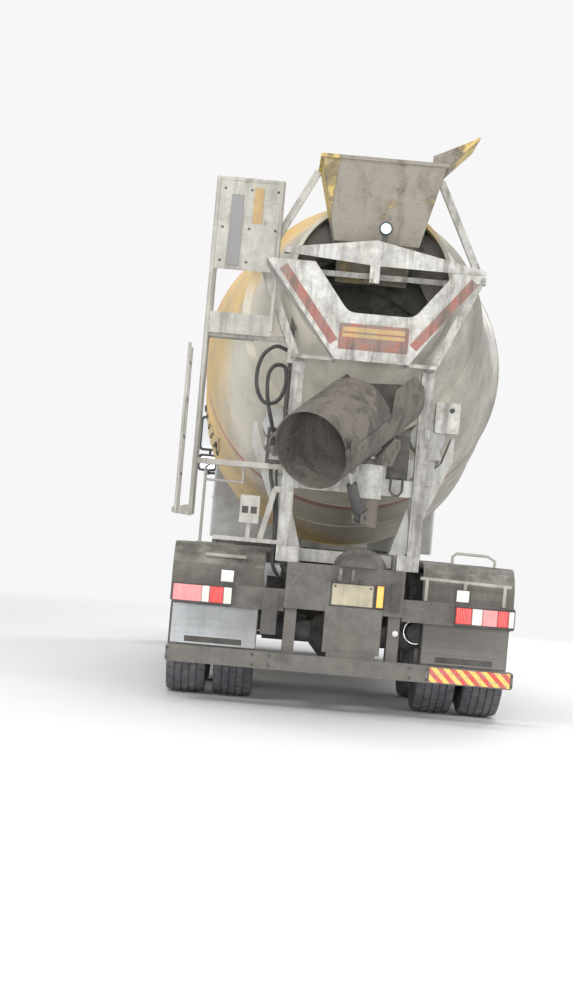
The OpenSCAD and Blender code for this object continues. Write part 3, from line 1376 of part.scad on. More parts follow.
// Control box on the right-hand post
module control_box() {
  color("whitesmoke") {
    along(post_y - 110, post_y - 10) polygon(rounded([[540, 2060, 15], [715, 2060, 15], [715, 2280, 15],
      [540, 2280, 15]]));
    block([post_x + 45 + seat, post_y - 30, 2120], [560, post_y - 10, 2200]);
    translate([680, post_y - 105, 2245]) rotate([90, 0, 0]) cylinder(r = 14, h = 25);
  }
}

// Rails, brackets and boxes on the tail: each is seated on the piece that carries it
module rear_fittings() {
  back = axle_4 - tyre_r - 70;
  rail_y = back + 250;
  foot_z = fender_top + seat;
  left_face = -post_x - 45 - seat;
  color("gainsboro") {
    // Light rod behind the right mudguard, on three brackets
    rod([550, back - 48, 1010], [1215, back - 48, 996], 13);
    for (x = [600, 880, 1170]) {
      block([x - 12, back - 60, 850], [x + 12, back - 36, 1008]);
      block([x - 12, back - 60, 850], [x + 12, back - seat, 880]);
    }
    // Hand rail on the right mudguard
    swept_tube([[800, rail_y, foot_z], [800, rail_y, 1185], [830, rail_y, 1213], [1060, rail_y, 1210],
      [1115, rail_y, 1180], [1115, rail_y, foot_z]], 11, 12, 1);
    // Two rails from the left mudguard to the pedestal's brace
    swept_tube([[-1080, rail_y, foot_z], [-1080, rail_y, 1690], [-1050, rail_y, 1722],
      [-post_x - 30 - seat, rail_y, 1725]], 11, 12, 1);
    rod([-1080, rail_y, 1600], [-800, rail_y, 1600], 9);
    rod([-800, rail_y, 1588], [-800, rail_y, 1724], 10);
    // Arm on the left post with a slanted stay and a box with two square recesses
    beam([-980, post_y, 1180], [left_face, post_y, 1180], 30, 30);
    beam([-640, post_y, 1185], [-560, post_y, 1560], 20, 40);
    block([-570, post_y - 20, 1540], [left_face, post_y + 20, 1580]);
    block([-745, post_y - 12, 1190], [-715, post_y + 12, 1301]);
    difference() {
      block([-800, post_y - 50, 1300], [-660, post_y + 30, 1500]);
      for (x = [-784, -721]) block([x, post_y - 51, 1370], [x + 45, post_y - 38, 1420]);
    }
    // Valve frame on the left post
    difference() {
      block([-650, post_y - 35, 1745], [left_face, post_y + 45, 2000]);
      block([-625, post_y - 36, 1770], [-545, post_y + 46, 1975]);
    }
    for (z = [1830, 1900]) block([-626, post_y - 20, z], [-544, post_y + 30, z + 28]);
    // Bracket on the left lamp carrier and the box on the frame's rear end plate
    block([-580, frame_end - 30, 520], [-470, frame_end + 30 - seat, 830]);
    block([330, frame_end - 50, 765], [400, frame_end - 12 - seat, 960]);
    // Block with a round hook on the posts' cross member
    block([230, post_y - 40, bearing_low + 160 + seat], [380, post_y + 40, 2020]);
    block([248, post_y - 74, 1715], [362, post_y - 38, 1750]);
    swept_tube([[262, post_y - 58, 1735], [262, post_y - 58, 1620], [285, post_y - 58, 1588],
      [325, post_y - 58, 1588], [348, post_y - 58, 1620], [348, post_y - 58, 1735]], 9, 12, 1);
    // Work light on the roof plates' ridge
    along(chute_y - 146, chute_y - 126) polygon([[30, roof_z(30) + seat], [70, roof_z(70) + seat],
      [70, throat_z + 75], [30, throat_z + 75]]);
    translate([50, chute_y - 125, throat_z + 95]) rotate([90, 0, 0]) cylinder(r = 45, h = 50);
  }
}

// Wash-down hose clipped along the left post
hose_r = 14;
hose_points = [[-560, -60, 2560], [-640, -80, 2580], [-720, -90, 2520], [-760, -95, 2400],
  [-750, -95, 2260],
  [-690, -90, 2170], [-610, -85, 2180], [-560, -80, 2260], [-550, -75, 2360], [-570, -75, 2440],
    [-640, -80, 2440],
  [-680, -90, 2360], [-670, -95, 2200], [-630, -95, 2040], [-590, -85, 1900], [-560, -60, 1820]];
function smooth_at(p, i, t) = let (
    a = p[max(0, i - 1)], b = p[i], c = p[i + 1], d = p[min(len(p) - 1, i + 2)])
  0.5 * ((2 * b) + (c - a) * t + (2 * a - 5 * b + 4 * c - d) * t * t + (3 * b - a - 3 * c + d) * t * t * t);
module swept_tube(points, r, sides, step = 0.25) {
  path = concat([for (i = [0:len(points) - 2], t = [0:step:0.99]) smooth_at(points, i, t)],
    [points[len(points) - 1]]);
  n = len(path);
  rings = [for (i = [0:n - 1]) let (
      ahead = unit(path[min(n - 1, i + 1)] - path[max(0, i - 1)]),
      u = unit(cross(ahead, [0.1, 1, 0.05])),
      w = cross(ahead, u))
    each [for (k = [0:sides - 1]) path[i] + r * (cos(360 * k / sides) * u + sin(360 * k / sides) * w)]];
  polyhedron(rings, concat([[for (k = [0:sides - 1]) k]],
    [for (i = [0:n - 2], k = [0:sides - 1]) [(i + 1) * sides + k, (i + 1) * sides + (k + 1) % sides,
      i * sides + (k + 1) % sides, i * sides + k]],
    [[for (k = [sides - 1:-1:0]) (n - 1) * sides + k]]));
}
module wash_hose() {
  color("black") translate([0, post_y, 0]) swept_tube(hose_points, hose_r, 8);
}

chassis();
mixer_frame();
rear_pedestal();
drum_drive();
drum_shell();
drum_blades();
roller_left();
roller_right();
engine();
front_axles();
rear_axles();
springs();
knuckle_1_left();
knuckle_1_right();
knuckle_2_left();
knuckle_2_right();
rim_1_left();
rim_1_right();
rim_2_left();
rim_2_right();
rim_3_left();
rim_3_right();
rim_4_left();
rim_4_right();
tyre_1_left();
tyre_1_right();
tyre_2_left();
tyre_2_right();
tyre_3_left();
tyre_3_right();
tyre_4_left();
tyre_4_right();
cab_shell();
cab_glass();
cab_trim();
cab_interior();
bumper();
door_left();
door_right();
door_glass_left();
door_glass_right();
side_tanks();
exhaust();
water_tank();
side_guards();
fenders();
underrun();
lamps();
hopper();
collector();
platform();
ladder_fold();
chute_arm();
chute_trough();
chute_extension();
lift_barrel();
lift_rod();
control_box();
rear_fittings();
wash_hose();
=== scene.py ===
import json
import math

import bmesh
import bpy
from mathutils import Matrix, Vector


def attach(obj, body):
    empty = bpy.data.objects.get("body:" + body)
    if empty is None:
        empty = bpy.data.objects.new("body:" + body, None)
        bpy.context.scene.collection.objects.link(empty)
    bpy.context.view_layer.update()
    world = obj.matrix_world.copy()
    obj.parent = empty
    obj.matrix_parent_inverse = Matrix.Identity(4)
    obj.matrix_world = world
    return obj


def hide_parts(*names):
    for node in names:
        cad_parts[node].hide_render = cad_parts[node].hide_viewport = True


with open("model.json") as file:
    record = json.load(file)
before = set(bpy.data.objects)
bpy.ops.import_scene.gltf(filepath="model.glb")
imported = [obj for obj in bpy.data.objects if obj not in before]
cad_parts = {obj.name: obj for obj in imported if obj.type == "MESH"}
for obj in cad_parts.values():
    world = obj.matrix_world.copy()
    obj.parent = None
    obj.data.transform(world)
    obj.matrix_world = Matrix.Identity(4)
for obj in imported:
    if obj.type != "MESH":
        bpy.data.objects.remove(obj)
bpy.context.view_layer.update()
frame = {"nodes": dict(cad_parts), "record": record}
nodes = frame["nodes"]

# Driving places, in metres, the same as in the part
AXLE_Y = {1: 3.32099, 2: 1.37099, 3: -1.37901, 4: -2.72901}
AXLE_Z = 0.53
FRONT_Y = 4.72097
POST_X, POST_Y = 0.47, -3.48901
REAR_PLATE = -3.591
LAMP_FACE = -3.609
BAR_FACE = -3.719
DRUM_FRONT = Vector((0, 1.38139, 2.06756))
DRUM_TILT = math.radians(12)
DRUM_AXIS = Vector((0, -math.cos(DRUM_TILT), math.sin(DRUM_TILT)))
DRUM_UP = Vector((0, math.sin(DRUM_TILT), math.cos(DRUM_TILT)))
SIDES = (("left", -1), ("right", 1))

# Camera at the photograph's place, a little left of the truck's middle and rolled
PHOTO_H = 998
FOCAL_PX = 1950.0
SENSOR_MM, CLIP_END = 36, 200
CAMERA_X, CAMERA_BEHIND, CAMERA_Z = -0.66, 14.8, 1.17
cam_pos = Vector((CAMERA_X, AXLE_Y[4] - CAMERA_BEHIND, CAMERA_Z))
yaw, pitch, roll = math.radians(0.77), math.radians(1.33), math.radians(5.0)
forward = Vector((math.sin(yaw) * math.cos(pitch), math.cos(yaw) * math.cos(pitch), math.sin(pitch)))
level = forward.cross(Vector((0, 0, 1))).normalized()
above = level.cross(forward)
right = level * math.cos(roll) + above * math.sin(roll)
up = above * math.cos(roll) - level * math.sin(roll)
camera_data = bpy.data.cameras.new("camera")
camera_data.sensor_fit = "VERTICAL"
camera_data.sensor_height = SENSOR_MM
camera_data.lens = SENSOR_MM * FOCAL_PX / PHOTO_H
camera_data.clip_end = CLIP_END
camera = bpy.data.objects.new("camera", camera_data)
basis = Matrix((right, up, -forward)).transposed().to_4x4()
camera.matrix_world = Matrix.Translation(cam_pos) @ basis
bpy.context.collection.objects.link(camera)
bpy.context.scene.camera = camera


# Node materials
class Shader:
    """Small builder for a node material in object coordinates, in metres."""

    def __init__(self, name):
        self.mat = bpy.data.materials.new(name)
        self.mat.use_nodes = True
        self.tree = self.mat.node_tree
        self.tree.nodes.clear()
        self.out = self.node("ShaderNodeOutputMaterial")
        self.coord = self.node("ShaderNodeTexCoord")
        self.bsdf = self.node("ShaderNodeBsdfPrincipled")
        self.put(self.bsdf.outputs[0], self.out.inputs["Surface"])

    def node(self, kind, values=None, **settings):
        """Node with its settings, and with values or links put into its inputs."""
        made = self.tree.nodes.new(kind)
        for key, value in settings.items():
            setattr(made, key, value)
        for key, value in (values or {}).items():
            self.put(value, made.inputs[key])
        return made

    def put(self, value, socket):
        if hasattr(value, "links"):
            self.tree.links.new(value, socket)
        else:
            socket.default_value = value

    def noise(self, scale, detail=4.0, rough=0.55, stretch=(1, 1, 1), distort=0.0):
        place = self.node("ShaderNodeMapping", {"Scale": stretch, "Vector": self.coord.outputs["Object"]})
        return self.node("ShaderNodeTexNoise", {
            "Vector": place.outputs[0], "Scale": scale, "Detail": detail, "Roughness": rough,
            "Distortion": distort}).outputs["Fac"]

    def part(self, name, source="Object"):
        return self.node("ShaderNodeSeparateXYZ", {0: self.coord.outputs[source]}).outputs[name]

    def math(self, kind, a, b=0.0, clamp=False):
        return self.node("ShaderNodeMath", {0: a, 1: b}, operation=kind, use_clamp=clamp).outputs[0]

    def times(self, a, b, clamp=False):
        return self.math("MULTIPLY", a, b, clamp)

    def span(self, value, low, high, to_low=0.0, to_high=1.0):
        return self.node("ShaderNodeMapRange", {
            "Value": value, "From Min": low, "From Max": high, "To Min": to_low, "To Max": to_high},
            clamp=True).outputs[0]

    def mix(self, fac, a, b):
        return self.node("ShaderNodeMix", {0: fac, 6: solid(a), 7: solid(b)}, data_type="RGBA").outputs[2]

    def bump(self, height, strength=0.3, distance=0.01):
        relief = self.node("ShaderNodeBump", {"Strength": strength, "Distance": distance, "Height": height})
        self.put(relief.outputs[0], self.bsdf.inputs["Normal"])

    def finish(self, color, rough, metallic=0.0):
        for key, value in (("Base Color", solid(color)), ("Roughness", rough), ("Metallic", metallic)):
            self.put(value, self.bsdf.inputs[key])
        return self.mat


def solid(color):
    """Colour with its alpha, or a link as it is."""
    return color if hasattr(color, "links") else (*color, 1.0)


DUST = (0.42, 0.39, 0.34)
CEMENT = (0.33, 0.31, 0.275)
MUD = (0.17, 0.15, 0.13)
RUST = (0.13, 0.07, 0.04)
WET_RUN = (0.12, 0.105, 0.09)


def shade(color, by):
    """Colour made darker or lighter."""
    return tuple(min(1.0, c * by) for c in color)


# Dark cement of the splashes, also the colour of the film and painted shade on rear faces
OLD_CEMENT_AND_SHADE = shade(CEMENT, 0.62)


def dirty_paint(name, base, dust=0.35, grime=0.4, rough=0.45, mud=0.0, chips=0.0, splash=0.0, film=0.0):
    """Paint with dust on upward faces, streaks, mud low down, splashes behind, a film on rear faces that is
    partly painted shade, and chips.
    """
    s = Shader(name)
    color = s.mix(s.span(s.noise(2.3, 5, 0.6), 0.3, 0.7, 0.0, 0.35), base, shade(base, 0.80))
    streak = s.noise(7.0, 5, 0.6, (1, 1, 0.12), 0.4)
    color = s.mix(s.span(streak, 0.5, 0.74, 0.0, grime), color, tuple(c * 0.35 + 0.03 for c in base))
    blotch = s.noise(3.7, 8, 0.68)
    top = s.span(s.part("Z", "Normal"), 0.1, 0.9, 0.25, 1.0)
    cover = s.times(s.span(blotch, 0.42, 0.66), top)
    color = s.mix(s.times(cover, dust * 2.0, True), color, DUST)
    if splash:
        behind = s.span(s.part("Y"), -2.6, -3.5)
        spots = s.span(s.noise(9.0, 8, 0.72), 0.42, 0.62)
        color = s.mix(s.times(s.times(spots, behind), splash, True), color, OLD_CEMENT_AND_SHADE)
        runs = s.span(s.noise(11.0, 6, 0.65, (1, 1, 0.07), 0.3), 0.5, 0.62)
        color = s.mix(s.times(s.times(runs, behind), splash, True), color, WET_RUN)
    # Darker faces turned to the rear: partly a cement film, partly painted shade
    if film:
        facing = s.span(s.part("Y", "Normal"), -0.4, -0.9)
        film_and_shade_patches = s.times(facing, s.span(s.noise(2.6, 7, 0.65), 0.25, 0.6, 0.45, 1.0))
        color = s.mix(s.times(film_and_shade_patches, film, True), color, OLD_CEMENT_AND_SHADE)
    if mud:
        near = s.span(s.part("Z"), 0.25, 1.5, 1.0, 0.0)
        spray = s.times(near, s.span(s.noise(5.0, 7, 0.65), 0.35, 0.62))
        color = s.mix(s.times(spray, mud, True), color, MUD)
    speck = s.noise(38.0, 3, 0.6)
    color = s.mix(s.span(speck, 0.62, 0.72, 0.0, 0.30), color, shade(DUST, 0.6))
    if chips:
        color = s.mix(s.span(s.noise(16.0, 8, 0.75), 0.63, 0.66, 0.0, chips), color, RUST)
    s.bump(s.math("ADD", speck, s.times(cover, 2.0)), 0.25, 0.002)
    return s.finish(color, s.span(blotch, 0.3, 0.7, rough, min(0.95, rough + 0.3)))


def cement_coat(name, base, crust, coat, dark, clean=None):
    """Sheet metal with a lumpy crust of concrete and dark runs, thinner where clean says so."""
    s = Shader(name)
    big = s.noise(3.1, 9, 0.7)
    runs = s.noise(6.0, 6, 0.65, (1, 1, 0.16), 0.6)
    fine = s.noise(45.0, 6, 0.7)
    amount = big if clean is None else s.math("SUBTRACT", big, clean(s))
    cover = s.span(amount, 0.60 - 0.35 * crust, 0.72 - 0.35 * crust)
    color = s.mix(cover, base, coat)
    color = s.mix(s.span(runs, 0.48, 0.64, 0.0, 0.7), color, dark)
    color = s.mix(s.span(fine, 0.35, 0.7, 0.0, 0.35), color, shade(coat, 1.45))
    color = s.mix(s.span(s.noise(12.0, 8, 0.75), 0.58, 0.66, 0.0, 0.6), color, shade(coat, 0.5))
    height = s.math("ADD", s.times(big, 2.2), s.times(fine, 0.35))
    s.bump(s.times(height, s.math("ADD", cover, 0.25)), 0.9, 0.014)
    return s.finish(color, s.span(fine, 0.3, 0.7, 0.8, 0.95))


def hopper_edges(s):
    """Share of bare paint on the charging hopper: most at its left edge and on the wing at its right, where
    its yellow is partly painted lamp light.
    """
    lean = s.math("SUBTRACT", s.part("X"), s.times(s.part("Z"), 0.092))
    left = s.span(lean, -0.640, -0.675)
    wing = s.span(s.part("X"), 0.44, 0.56)
    return s.times(s.math("MAXIMUM", left, wing), 0.26)


def plain(name, base, rough=0.6, vary=0.25, metal=0.0, grain=120.0, depth=0.001, dust=0.0):
    """Moulded, cast or machined surface with slight tone changes and a grain."""
    s = Shader(name)
    tone = s.noise(4.0, 5, 0.6)
    color = s.mix(s.span(tone, 0.3, 0.7, 0.0, vary), base, shade(base, 0.6))
    if dust:
        top = s.span(s.part("Z", "Normal"), 0.0, 0.9, 0.3, 1.0)
        color = s.mix(s.times(s.span(s.noise(6.0, 7, 0.66), 0.38, 0.68, 0.0, dust), top), color, DUST)
    s.bump(s.noise(grain, 3, 0.6), 0.35, depth)
    return s.finish(color, s.span(tone, 0.3, 0.7, rough * 0.85, min(1.0, rough * 1.15)), metal)


def cab_glass():
    """Window glass with a film of dust."""
    s = Shader("cab_glass")
    tint = (0.60, 0.68, 0.70)
    film = s.noise(5.0, 6, 0.65)
    s.put(0.9, s.bsdf.inputs["Transmission Weight"])
    s.put(1.45, s.bsdf.inputs["IOR"])
    s.bump(s.noise(30, 2), 0.03, 0.001)
    color = s.mix(s.span(film, 0.45, 0.75, 0.0, 0.4), tint, DUST)
    return s.finish(color, s.span(film, 0.4, 0.75, 0.03, 0.35))


def drum_paint():
    """Cream drum with a broad warm band winding slowly round it that is partly painted lamp light, a thin red
    ring, cement dust, and cement and painted shade on its right side.
    """
    s = Shader("drum_paint")
    dy = s.math("SUBTRACT", s.part("Y"), DRUM_FRONT.y)
    dz = s.math("SUBTRACT", s.part("Z"), DRUM_FRONT.z)
    sine, cosine = math.sin(DRUM_TILT), math.cos(DRUM_TILT)
    along = s.math("SUBTRACT", s.times(dz, sine), s.times(dy, cosine))
    over = s.math("ADD", s.times(dz, cosine), s.times(dy, sine))
    turn = s.math("DIVIDE", s.math("ARCTAN2", over, s.part("X")), 2 * math.pi)
    wobble = s.times(s.math("SUBTRACT", s.noise(1.2, 4), 0.5), 0.05)
    winding = s.math("FRACT", s.math("ADD", s.math("ADD", turn, wobble), s.times(along, 0.12)))
    band = s.times(s.span(winding, 0.70, 0.72), s.span(winding, 0.93, 0.99, 1.0, 0.0))
    ring = s.times(s.span(along, 2.86, 2.87), s.span(along, 3.00, 3.01, 1.0, 0.0))
    cream, warm, red = (0.66, 0.62, 0.52), (0.72, 0.49, 0.17), (0.50, 0.14, 0.11)
    streak = (0.28, 0.25, 0.21)
    # The band is two-tone paint; at rest it lies on the upper left of the drum's rear part, where it is also
    # painted yellow lamp light
    color = s.mix(s.times(band, 0.92), cream, warm)
    color = s.mix(s.times(ring, 0.75), color, red)
    blotch = s.noise(1.9, 8, 0.66)
    color = s.mix(s.span(blotch, 0.42, 0.74, 0.0, 0.65), color, DUST)
    color = s.mix(s.span(s.noise(5.0, 6, 0.6, (1, 0.5, 0.18), 0.5), 0.5, 0.75, 0.0, 0.5), color, streak)
    # Cement by the mouth and over the right half, stronger to the right: partly real cement, partly painted
    # shade on the drum's right side
    side = s.span(s.part("X"), -0.2, 0.9, 0.15, 1.0)
    mouth = s.times(s.span(along, 3.3, 4.6, 0.0, 1.0), s.span(s.noise(3.6, 8, 0.7), 0.36, 0.58))
    color = s.mix(s.times(mouth, side), color, shade(CEMENT, 0.85))
    right_cement_and_shade = s.times(s.span(s.part("X"), 0.15, 1.0), s.span(blotch, 0.35, 0.6, 0.45, 0.85))
    color = s.mix(right_cement_and_shade, color, shade(CEMENT, 0.70))
    fine = s.noise(40.0, 5, 0.65)
    s.bump(s.math("ADD", s.times(blotch, 0.8), s.times(fine, 0.3)), 0.35, 0.006)
    return s.finish(color, s.span(blotch, 0.3, 0.7, 0.45, 0.8))


def tyre_rubber():
    """Rubber with worn grey patches and dry dust."""
    s = Shader("tyre_rubber")
    new, worn, dusty = (0.070, 0.073, 0.081), (0.150, 0.152, 0.162), (0.22, 0.215, 0.205)
    tone = s.noise(3.0, 6, 0.65)
    color = s.mix(s.span(tone, 0.35, 0.7, 0.0, 0.8), new, worn)
    color = s.mix(s.span(s.noise(9.0, 7, 0.7), 0.46, 0.68, 0.0, 0.55), color, dusty)
    s.bump(s.noise(90.0, 4, 0.6), 0.3, 0.002)
    return s.finish(color, s.span(tone, 0.3, 0.7, 0.75, 0.92))


def lens(name, base, glow, scale):
    """Moulded lamp lens with fine ribs, dust in its corners and a faint light of its own."""
    s = Shader(name)
    ribs = s.node("ShaderNodeTexWave", {"Scale": scale, "Vector": s.coord.outputs["Object"]},
                  wave_type="BANDS", bands_direction="X")
    s.bump(ribs.outputs["Fac"], 0.3, 0.003)
    s.put(0.6, s.bsdf.inputs["Coat Weight"])
    if glow:
        s.put(solid(base), s.bsdf.inputs["Emission Color"])
        s.put(glow, s.bsdf.inputs["Emission Strength"])
    return s.finish(s.mix(s.span(s.noise(20, 5), 0.4, 0.7, 0.0, 0.35), base, shade(base, 0.45)), 0.22)


def bar_marking():
    """Plain slanted stripes of two colours, worn and dusty."""
    s = Shader("bar_marking")
    red, yellow, width = (0.60, 0.05, 0.04), (0.78, 0.56, 0.12), 0.09
    step = s.math("FRACT", s.math("DIVIDE", s.math("ADD", s.part("X"), s.part("Z")), width))
    color = s.mix(s.span(step, 0.49, 0.51), red, yellow)
    color = s.mix(s.span(s.noise(30, 6, 0.7), 0.48, 0.62, 0.0, 0.6), color, shade(DUST, 0.6))
    s.bump(s.noise(160, 2), 0.2, 0.0006)
    return s.finish(color, 0.4)


# Paints: name, colour, dust, grime, roughness, mud low down, chips, splashes behind, film and painted shade
# on rear faces
PAINTS = [
    ("frame_steel", (0.085, 0.078, 0.072), 0.45, 0.3, 0.6, 0.55, 0.5, 0.5),
    ("white_paint", (0.60, 0.59, 0.55), 0.3, 0.75, 0.5, 0.5, 0.7, 0.62),
    ("rim_paint", (0.42, 0.42, 0.43), 0.35, 0.5, 0.5, 0.8, 0.3),
    # the cab's strong film on its rear faces is partly painted shade
    ("cab_paint", (0.70, 0.70, 0.68), 0.22, 0.18, 0.28, 0.4, 0.0, 0.0, 0.9),
    ("fender_plastic", (0.10, 0.088, 0.078), 0.6, 0.3, 0.7, 0.5, 0.0, 0.6),
    ("zinc_tube", (0.50, 0.48, 0.43), 0.3, 0.6, 0.5, 0.3, 0.5, 0.4),
    ("dark_fittings", (0.048, 0.045, 0.043), 0.3, 0.3, 0.6, 0.2, 0.3, 0.2),
    ("pale_plate", (0.56, 0.50, 0.34), 0.2, 0.4, 0.45, 0.2, 0.0, 0.3),
    ("pale_flap", (0.56, 0.58, 0.59), 0.2, 0.3, 0.6, 0.25),
    # right flap: the pale flap's sheet darkened with painted shade
    ("dark_flap", (0.20, 0.185, 0.17), 0.4, 0.4, 0.7, 0.4),
    ("worn_red", (0.36, 0.12, 0.09), 0.45, 0.6, 0.6, 0.0, 0.2, 0.9),
    ("worn_yellow", (0.54, 0.36, 0.15), 0.3, 0.5, 0.6, 0.0, 0.2, 0.35),
    ("grey_strip", (0.26, 0.26, 0.255), 0.3, 0.4, 0.6)]
# Crusts: name, colour below, share covered, colours of the crust and its runs, where it is thinner
CRUSTS = [
    ("worn_steel", (0.09, 0.075, 0.065), 0.75, (0.165, 0.145, 0.125), (0.05, 0.042, 0.036)),
    ("hopper_paint", (0.60, 0.44, 0.13), 0.85, (0.27, 0.245, 0.205), (0.14, 0.12, 0.10), hopper_edges),
    ("blade_crust", (0.20, 0.185, 0.165), 0.85, (0.34, 0.32, 0.285), (0.16, 0.145, 0.125))]
# Plain surfaces: name, colour, roughness, change of tone, metal, fineness and depth of the grain, dust
PLAINS = [
    ("machined_steel", (0.50, 0.50, 0.49), 0.35, 0.3, 1.0, 60),
    ("cast_dark", (0.045, 0.045, 0.047), 0.7, 0.3, 0.0, 70, 0.002, 0.6),
    ("dark_plastic", (0.035, 0.035, 0.038), 0.6, 0.3, 0.0, 160, 0.001, 0.35),
    ("tank_metal", (0.50, 0.50, 0.51), 0.38, 0.35, 0.85, 50, 0.001, 0.4),
    ("lamp_housing", (0.03, 0.03, 0.032), 0.5, 0.3, 0.0, 160, 0.001, 0.5),
    ("hose_rubber", (0.022, 0.022, 0.024), 0.6, 0.4, 0.0, 120, 0.001, 0.3),
    ("bright_metal", (0.72, 0.72, 0.72), 0.16, 0.15, 1.0, 40, 0.0005),
    ("mirror_glass", (0.80, 0.82, 0.84), 0.05, 0.1, 1.0, 20, 0.0002)]
# Lenses: name, colour, light of its own, fineness of the ribs
LENSES = [
    ("clear_lens", (0.62, 0.64, 0.66), 0.0, 30),
    ("red_lens", (0.56, 0.025, 0.02), 0.3, 24),
    ("pink_lens", (0.62, 0.22, 0.22), 0.25, 24),
    ("white_lens", (0.66, 0.64, 0.58), 0.12, 24),
    ("amber_lens", (0.80, 0.36, 0.05), 0.7, 24),
    ("work_lens", (0.62, 0.80, 0.92), 0.7, 40)]
MATERIALS = {"drum_paint": drum_paint(), "tyre_rubber": tyre_rubber(), "cab_glass": cab_glass(),
             "bar_marking": bar_marking()}
for maker, rows in ((dirty_paint, PAINTS), (cement_coat, CRUSTS), (plain, PLAINS), (lens, LENSES)):
    MATERIALS.update((row[0], maker(*row)) for row in rows)
MATERIALS["lamp_lens"] = MATERIALS["lamp_housing"]

for row in frame["record"]["subparts"]:
    node = nodes[row["node"]]
    node.data.materials.clear()
    node.data.materials.append(MATERIALS[row["material_slot"]])


def repaint(name, material, inside):
    """Gives the faces of a CAD node whose middle passes the test another material."""
    mesh = nodes[name].data
    mesh.materials.append(MATERIALS[material])
    last = len(mesh.materials) - 1
    for polygon in mesh.polygons:
        if inside(polygon.center):
            polygon.material_index = last


dark_fittings = [
    # lowest and highest corner of each dark fitting at the rear
    ((-0.66, -3.60, 1.74), (-0.51, -3.40, 2.01)),
    ((-0.59, -3.62, 0.51), (-0.46, -3.50, 0.84)),
    ((-0.786, -3.5385, 1.368), (-0.674, -3.526, 1.422)),
    ((0.32, -3.64, 0.75), (0.41, -3.58, 0.97)),
    ((0.22, -3.60, 1.55), (0.39, -3.40, 2.03)),
    ((-0.01, -4.00, 3.30), (0.11, -3.85, 3.50))]
repaint("rear_fittings", "dark_fittings", lambda p: any(
    all(low[i] <= p[i] <= high[i] for i in range(3)) for low, high in dark_fittings))
repaint("lamps", "clear_lens", lambda p: p.y > FRONT_Y - 0.20)
repaint("drum_blades", "blade_crust", lambda p: True)
# Roof plates, gusset and stays of the hopper
PLATES_TOP, STAYS_TOP = 3.345, 3.865
GUSSET_Y, PLATE_X, STAY_X = -3.87, 0.30, 0.437
repaint("hopper", "white_paint", lambda p: (
    p.z < PLATES_TOP and (p.y < GUSSET_Y or abs(p.x) > PLATE_X)) or (abs(p.x) > STAY_X and p.z < STAYS_TOP))


# Mesh helpers
SUNK = 0.001
EDGE_ANGLE = math.radians(35)
BEHIND = -4.2


def angles(count, start=0.0):
    """Angles round a circle, moved on by a share of a step."""
    return [2 * math.pi * (k + start) / count for k in range(count)]


def circle(axis, sides):
    """Unit circle across an axis."""
    turn = Vector(axis).to_track_quat("Z", "Y").to_matrix()
    return [turn @ Vector((math.cos(t), math.sin(t), 0)) for t in angles(sides)]


def show(name, mesh, material, sharp):
    """Object of a mesh that is shaded smooth up to an angle."""
    mesh.shade_smooth()
    mesh.set_sharp_from_angle(angle=sharp)
    made = bpy.data.objects.new(name, mesh)
    bpy.context.collection.objects.link(made)
    mesh.materials.append(MATERIALS[material])
    return made


